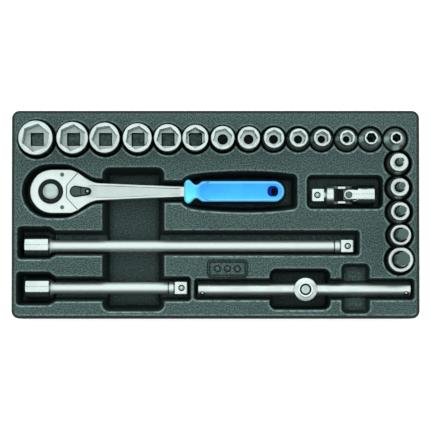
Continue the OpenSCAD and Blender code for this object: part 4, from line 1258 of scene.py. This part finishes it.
def make_t_handle():
    n = 96
    prof = rounded([(0.5, 0, 0), (TBAR_R, 0, 0.7), (TBAR_R, T_LEN, 0.7), (0.5, T_LEN, 0)], 5)
    Shape().rings(along_x(lathe_loops(prof, n), T_X0, TBAR_Y, TBAR_Z)).make(
        "t_bar_rod", "tbar", "t_handle_bar", "t_chrome", ["t_bar"], 30)
    # painted shadow round the retaining balls at both ends
    for k, x in enumerate((T_X0 + 3.4, T_X0 + T_LEN - 3.6)):
        paint_ball_gap_shadow(f"t_bar_ball_gap_shadow_{k}", "t_handle_bar", "t_chrome", (x, TBAR_Y, TBAR_Z), TBAR_R,
                  math.radians(45), 1.3, 2.1)
    # sliding head: the square points down, so both parts are turned over about X
    z = TBAR_Z - 8.5
    prof = rounded([
        (6.3, z, 0), (6.6, z, 0.3), (8.9, z + 2.2, 0.8), (9.0, z + 16.1, 0.8), (6.3, z + 17.1, 0.8),
        (5.7, z + 17.5, 0.3), (4.35, z + 17.5, 0.3), (4.3, z + 15.4, 0.1), (0.8, z + 15.4, 0),
    ], 5)
    lower = drive_end_loops(0, n)
    loops = [[(p[0], -p[1], -p[2] + z) for p in lp] for lp in reversed(lower)]
    loops += [[(p[0], -p[1], p[2]) for p in lp] for lp in lathe_loops(prof, n)]
    # painted shade in the bore at the top of the head
    marks = [0.0] * len(lower) + [1.0 if r < 4.36 and h > z + 10 else 0.0 for r, h in prof]
    shape = Shape()
    shape.rings(moved(loops, THEAD_X, TBAR_Y, 0), marks=marks)
    shape.make("t_sliding_head", "head", "t_handle_head", "t_chrome", ["t_slider"], 30)
    zc = TBAR_Z + TBAR_R + 0.6
    prof = rounded([(3.75, zc, 0), (3.75, zc + 2.0, 0.3), (3.2, zc + 2.9, 0.5), (0.6, zc + 3.2, 0.2),
                    (0.4, zc + 2.9, 0)], 4)
    Shape().rings(moved(lathe_loops(prof, n), THEAD_X, TBAR_Y, 0)).make(
        "t_head_screw", "button", "t_handle_head", "button_chrome", ["t_cap"], 30)


# ------------------------------------------------------------------ universal joint
UJ_X0, UJ_Y, UJ_Z, UJ_CX, UJ_R = 73.6, 15.2, 28.0, 101.9, 7.85


def ear(shape, outline, turn, eye):
    """A yoke's ear: an outline in (x, across), 4.7 mm from the axis out to the round skin, turned about X.

    eye is the x of the hole for the cross's pin.
    """
    part = Shape()
    skin = lambda x, v: math.sqrt(max(1.0, UJ_R ** 2 - v * v)) - 0.06 * smoothstep(108.2, 109.0, x)
    hole = disc(eye, 0, 2.6, 40)
    soft_prism(part, outline, skin, 4.7, 0.45, 0.3, holes=[(hole, 0.2, None)], steps=4, spacing=0.5)
    sideways = turn % 180 != 0
    # painted shade on the sideways ears, outside the lit band across their middle
    painted_highlight_and_shade = [-1.0 if sideways and not 93.7 < x < 99.4 and abs(v) > 1.0 else 0.0 for x, v, _ in part.v]
    shape.add(about_x(part.v, (0, UJ_Y, UJ_Z), math.radians(turn)), part.f, painted_highlight_and_shade)


def make_joint():
    n = 96
    # drive yoke: square, neck, disc, two ears at the sides
    shape = Shape()
    prof = rounded([
        (3.9, DRIVE_LEN, 0), (3.9, 10.4, 0.2), (4.6, 11.0, 0.3), (7.2, 11.2, 0.5), (UJ_R, 11.9, 0.5),
        (UJ_R, 16.7, 0.6), (6.9, 17.3, 0.3), (0.5, 17.3, 0),
    ], 4)
    square = drive_end_loops(0, n)
    loops = [[(p[0], p[1], DRIVE_LEN - p[2]) for p in lp] for lp in reversed(square)] + lathe_loops(prof, n)
    marks = [1.0] * len(square) + [0.75] * len(prof)
    shape.rings(along_x(loops, UJ_X0, UJ_Y, UJ_Z), marks=marks)
    tip = UJ_CX + 3.9
    side = [(90.0, 3.3), (93.2, 3.4), (93.6, 4.3), (93.8, 4.4), (99.3, 4.4), (99.5, 4.3)]
    side += [(99.9 + (tip - 99.9) * math.sin(a), 3.85 * math.cos(a)) for a in map(math.radians, range(5, 90, 10))]
    tongue = [(x, -v) for x, v in side] + [(tip, 0.0)] + [(x, v) for x, v in reversed(side)]
    for turn in (90, -90):
        ear(shape, dense(tongue, 1.5), turn, UJ_CX)
    shape.make("joint_drive_yoke", "joint", "joint_yoke", "joint_chrome", ["uj_drive_yoke"], 32)
    # painted shadow round the retaining ball
    paint_ball_gap_shadow("joint_seat", "joint_yoke", "joint_chrome", (UJ_X0 + 4.4, UJ_Y, UJ_Z), None)
    # socket yoke: body with a square mouth, ears above and below
    shape = Shape()
    prof = rounded([(0.5, 6.4, 0), (7.0, 6.4, 0.3), (UJ_R, 7.2, 0.5), (UJ_R, 19.9, 0.6), (7.2, 19.9, 0)], 4)
    loops = lathe_loops(prof, n) + [square_loop(FSQ / 2 + 0.4, 19.9, n, 0, 6.9)]
    loops += [square_loop(FSQ / 2, z, n, 0, FSQ_CORNER) for z in (19.5, 10.9)]
    shape.rings(along_x(loops, UJ_CX, UJ_Y, UJ_Z))
    tongue = [(109.6, -4.2), (109.6, 4.2)] + [(x, v) for x, v in arc(102.4, 0, 4.3, 92, 268, 22)]
    for turn in (0, 180):
        ear(shape, dense(tongue, 1.5), turn, UJ_CX)
    shape.make("joint_socket_yoke", "joint", "joint_socket", "joint_chrome", ["uj_socket_yoke"], 32)
    # cross: a block with turned edges and four pins
    shape = Shape()
    h = 4.15
    block = round_rect(UJ_CX - h, UJ_CX + h, UJ_Y - h, UJ_Y + h, 0.5, 3)
    soft_prism(shape, dense(block, 2.0), UJ_Z + h, UJ_Z - h, 0.5, 0.5, steps=3)
    prof = rounded([(2.45, h - 0.5, 0), (2.45, 7.45, 0.35), (1.2, 7.55, 0.2), (0.2, 7.25, 0)], 3)
    pin = lathe_loops(prof, 40)
    for turn in (0, 90, 180, 270):
        shape.rings([about_x(lp, (UJ_CX, UJ_Y, UJ_Z), math.radians(turn)) for lp in pin])
    shape.make("joint_cross_piece", "cross", "joint_cross", "joint_dark", ["uj_cross"], 32)


# ------------------------------------------------------------------ CAD parts that show as they are
def finish_cad(name, mat, width):
    """Gives a CAD part its material and, with a width in millimetres, broken edges."""
    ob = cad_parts[name]
    ob.data.materials.clear()
    ob.data.materials.append(MAT[mat])
    if width:
        b = ob.modifiers.new("edges", "BEVEL")
        b.width = width * MM
        b.segments = 2
        b.limit_method = "ANGLE"
        b.angle_limit = math.radians(30)
        b.use_clamp_overlap = True
        b.harden_normals = False


make_tray()
for size, x, od, turn, _ in SOCKETS:
    make_socket(size, x, od, turn)
for size, x, y, face, turn, _ in BITS:
    make_bit_socket(size, x, y, face, turn)
make_ratchet()
make_extension("long_bar_piece", -146.4, -23.9, 252.0, "long_bar", "long_extension")
make_extension("short_bar_piece", -145.8, -56.0, 124.0, "short_bar", "short_extension")
make_t_handle()
make_joint()
for name, mat, width in (
    ("tray_base", "panel", 0.3), ("cover_screws", "screw", 0.1), ("drive_gear", "drive", 0.15),
    ("drive_ball", "ball", 0), ("pawl", "pawl", 0.2), ("long_ball", "ball", 0), ("short_ball", "ball", 0),
    ("uj_ball", "ball", 0), ("t_end_balls", "ball", 0), ("t_ball", "ball", 0),
):
    finish_cad(name, mat, width)


# ------------------------------------------------------------------ stage, lights, camera
def make_floor():
    m, nt, bsdf = new_material("paper")
    co = coords_of(nt)
    fibre = noise(nt, co, 700, 3, 0.6)
    nt.links.new(ramp(nt, fibre, [(0.3, grey(0.90)), (0.7, grey(0.94))]), bsdf.inputs["Base Color"])
    bsdf.inputs["Roughness"].default_value = 0.9
    bsdf.inputs["Emission Color"].default_value = (1, 1, 1, 1)
    bsdf.inputs["Emission Strength"].default_value = 0.45
    me = bpy.data.meshes.new("floor")
    e = 6.0
    me.from_pydata([(-e, -e, 0), (e, -e, 0), (e, e, 0), (-e, e, 0)], [], [(0, 1, 2, 3)])
    me.materials.append(m)
    ob = bpy.data.objects.new("floor", me)
    bpy.context.scene.collection.objects.link(ob)


def softbox(name, start_deg, end_deg, width, radiance, turn=0.0):
    """A rectangular light filling the sky between two angles from straight up, towards +Y turned about Z."""
    distance = 2.0
    mid = math.radians((start_deg + end_deg) / 2)
    depth = 2 * distance * math.tan(math.radians(end_deg - start_deg) / 2)
    light = bpy.data.lights.new(name, "AREA")
    light.shape = "RECTANGLE"
    light.size = width
    light.size_y = depth
    light.energy = radiance * math.pi * width * depth
    ob = bpy.data.objects.new(name, light)
    out, about = distance * math.sin(mid), math.radians(turn)
    ob.location = (-out * math.sin(about), out * math.cos(about), distance * math.cos(mid))
    ob.rotation_euler = (-mid, 0, about)
    ob.visible_camera = False
    bpy.context.scene.collection.objects.link(ob)


def make_camera():
    """Straight above, a little towards the front edge; the frame is shifted back over the tray."""
    cam = bpy.data.cameras.new("camera")
    cam.sensor_width = 36.0
    cam.clip_start, cam.clip_end = 0.05, 20
    dist, lean, tilt = 1.40, math.radians(2.8), math.radians(1.3)
    view_width = 0.3326
    target = Vector((0.0014, -0.0022, DECK * MM))
    ob = bpy.data.objects.new("camera", cam)
    ob.location = target + Vector((0, -math.tan(lean), 1)) * dist
    ob.rotation_euler = (tilt, 0, 0)
    depth = dist / math.cos(lean) * math.cos(lean - tilt)
    cam.lens = 36.0 * depth / view_width
    cam.shift_y = math.tan(lean - tilt) * depth / view_width
    bpy.context.scene.collection.objects.link(ob)
    bpy.context.scene.camera = ob


make_floor()
softbox("north_box", 16.0, 76.0, 4.0, 1.65)
softbox("south_box", -42.0, 13.0, 4.0, 1.65)
softbox("east_strip", 54.0, 86.0, 1.5, 1.5, turn=-90.0)
softbox("west_strip", 54.0, 86.0, 1.5, 1.5, turn=90.0)
world = bpy.data.worlds.new("studio")
world.use_nodes = True
world.node_tree.nodes["Background"].inputs["Color"].default_value = (0.85, 0.93, 0.92, 1)
world.node_tree.nodes["Background"].inputs["Strength"].default_value = 0.05
bpy.context.scene.world = world
bpy.context.scene.view_settings.view_transform = "Standard"
make_camera()
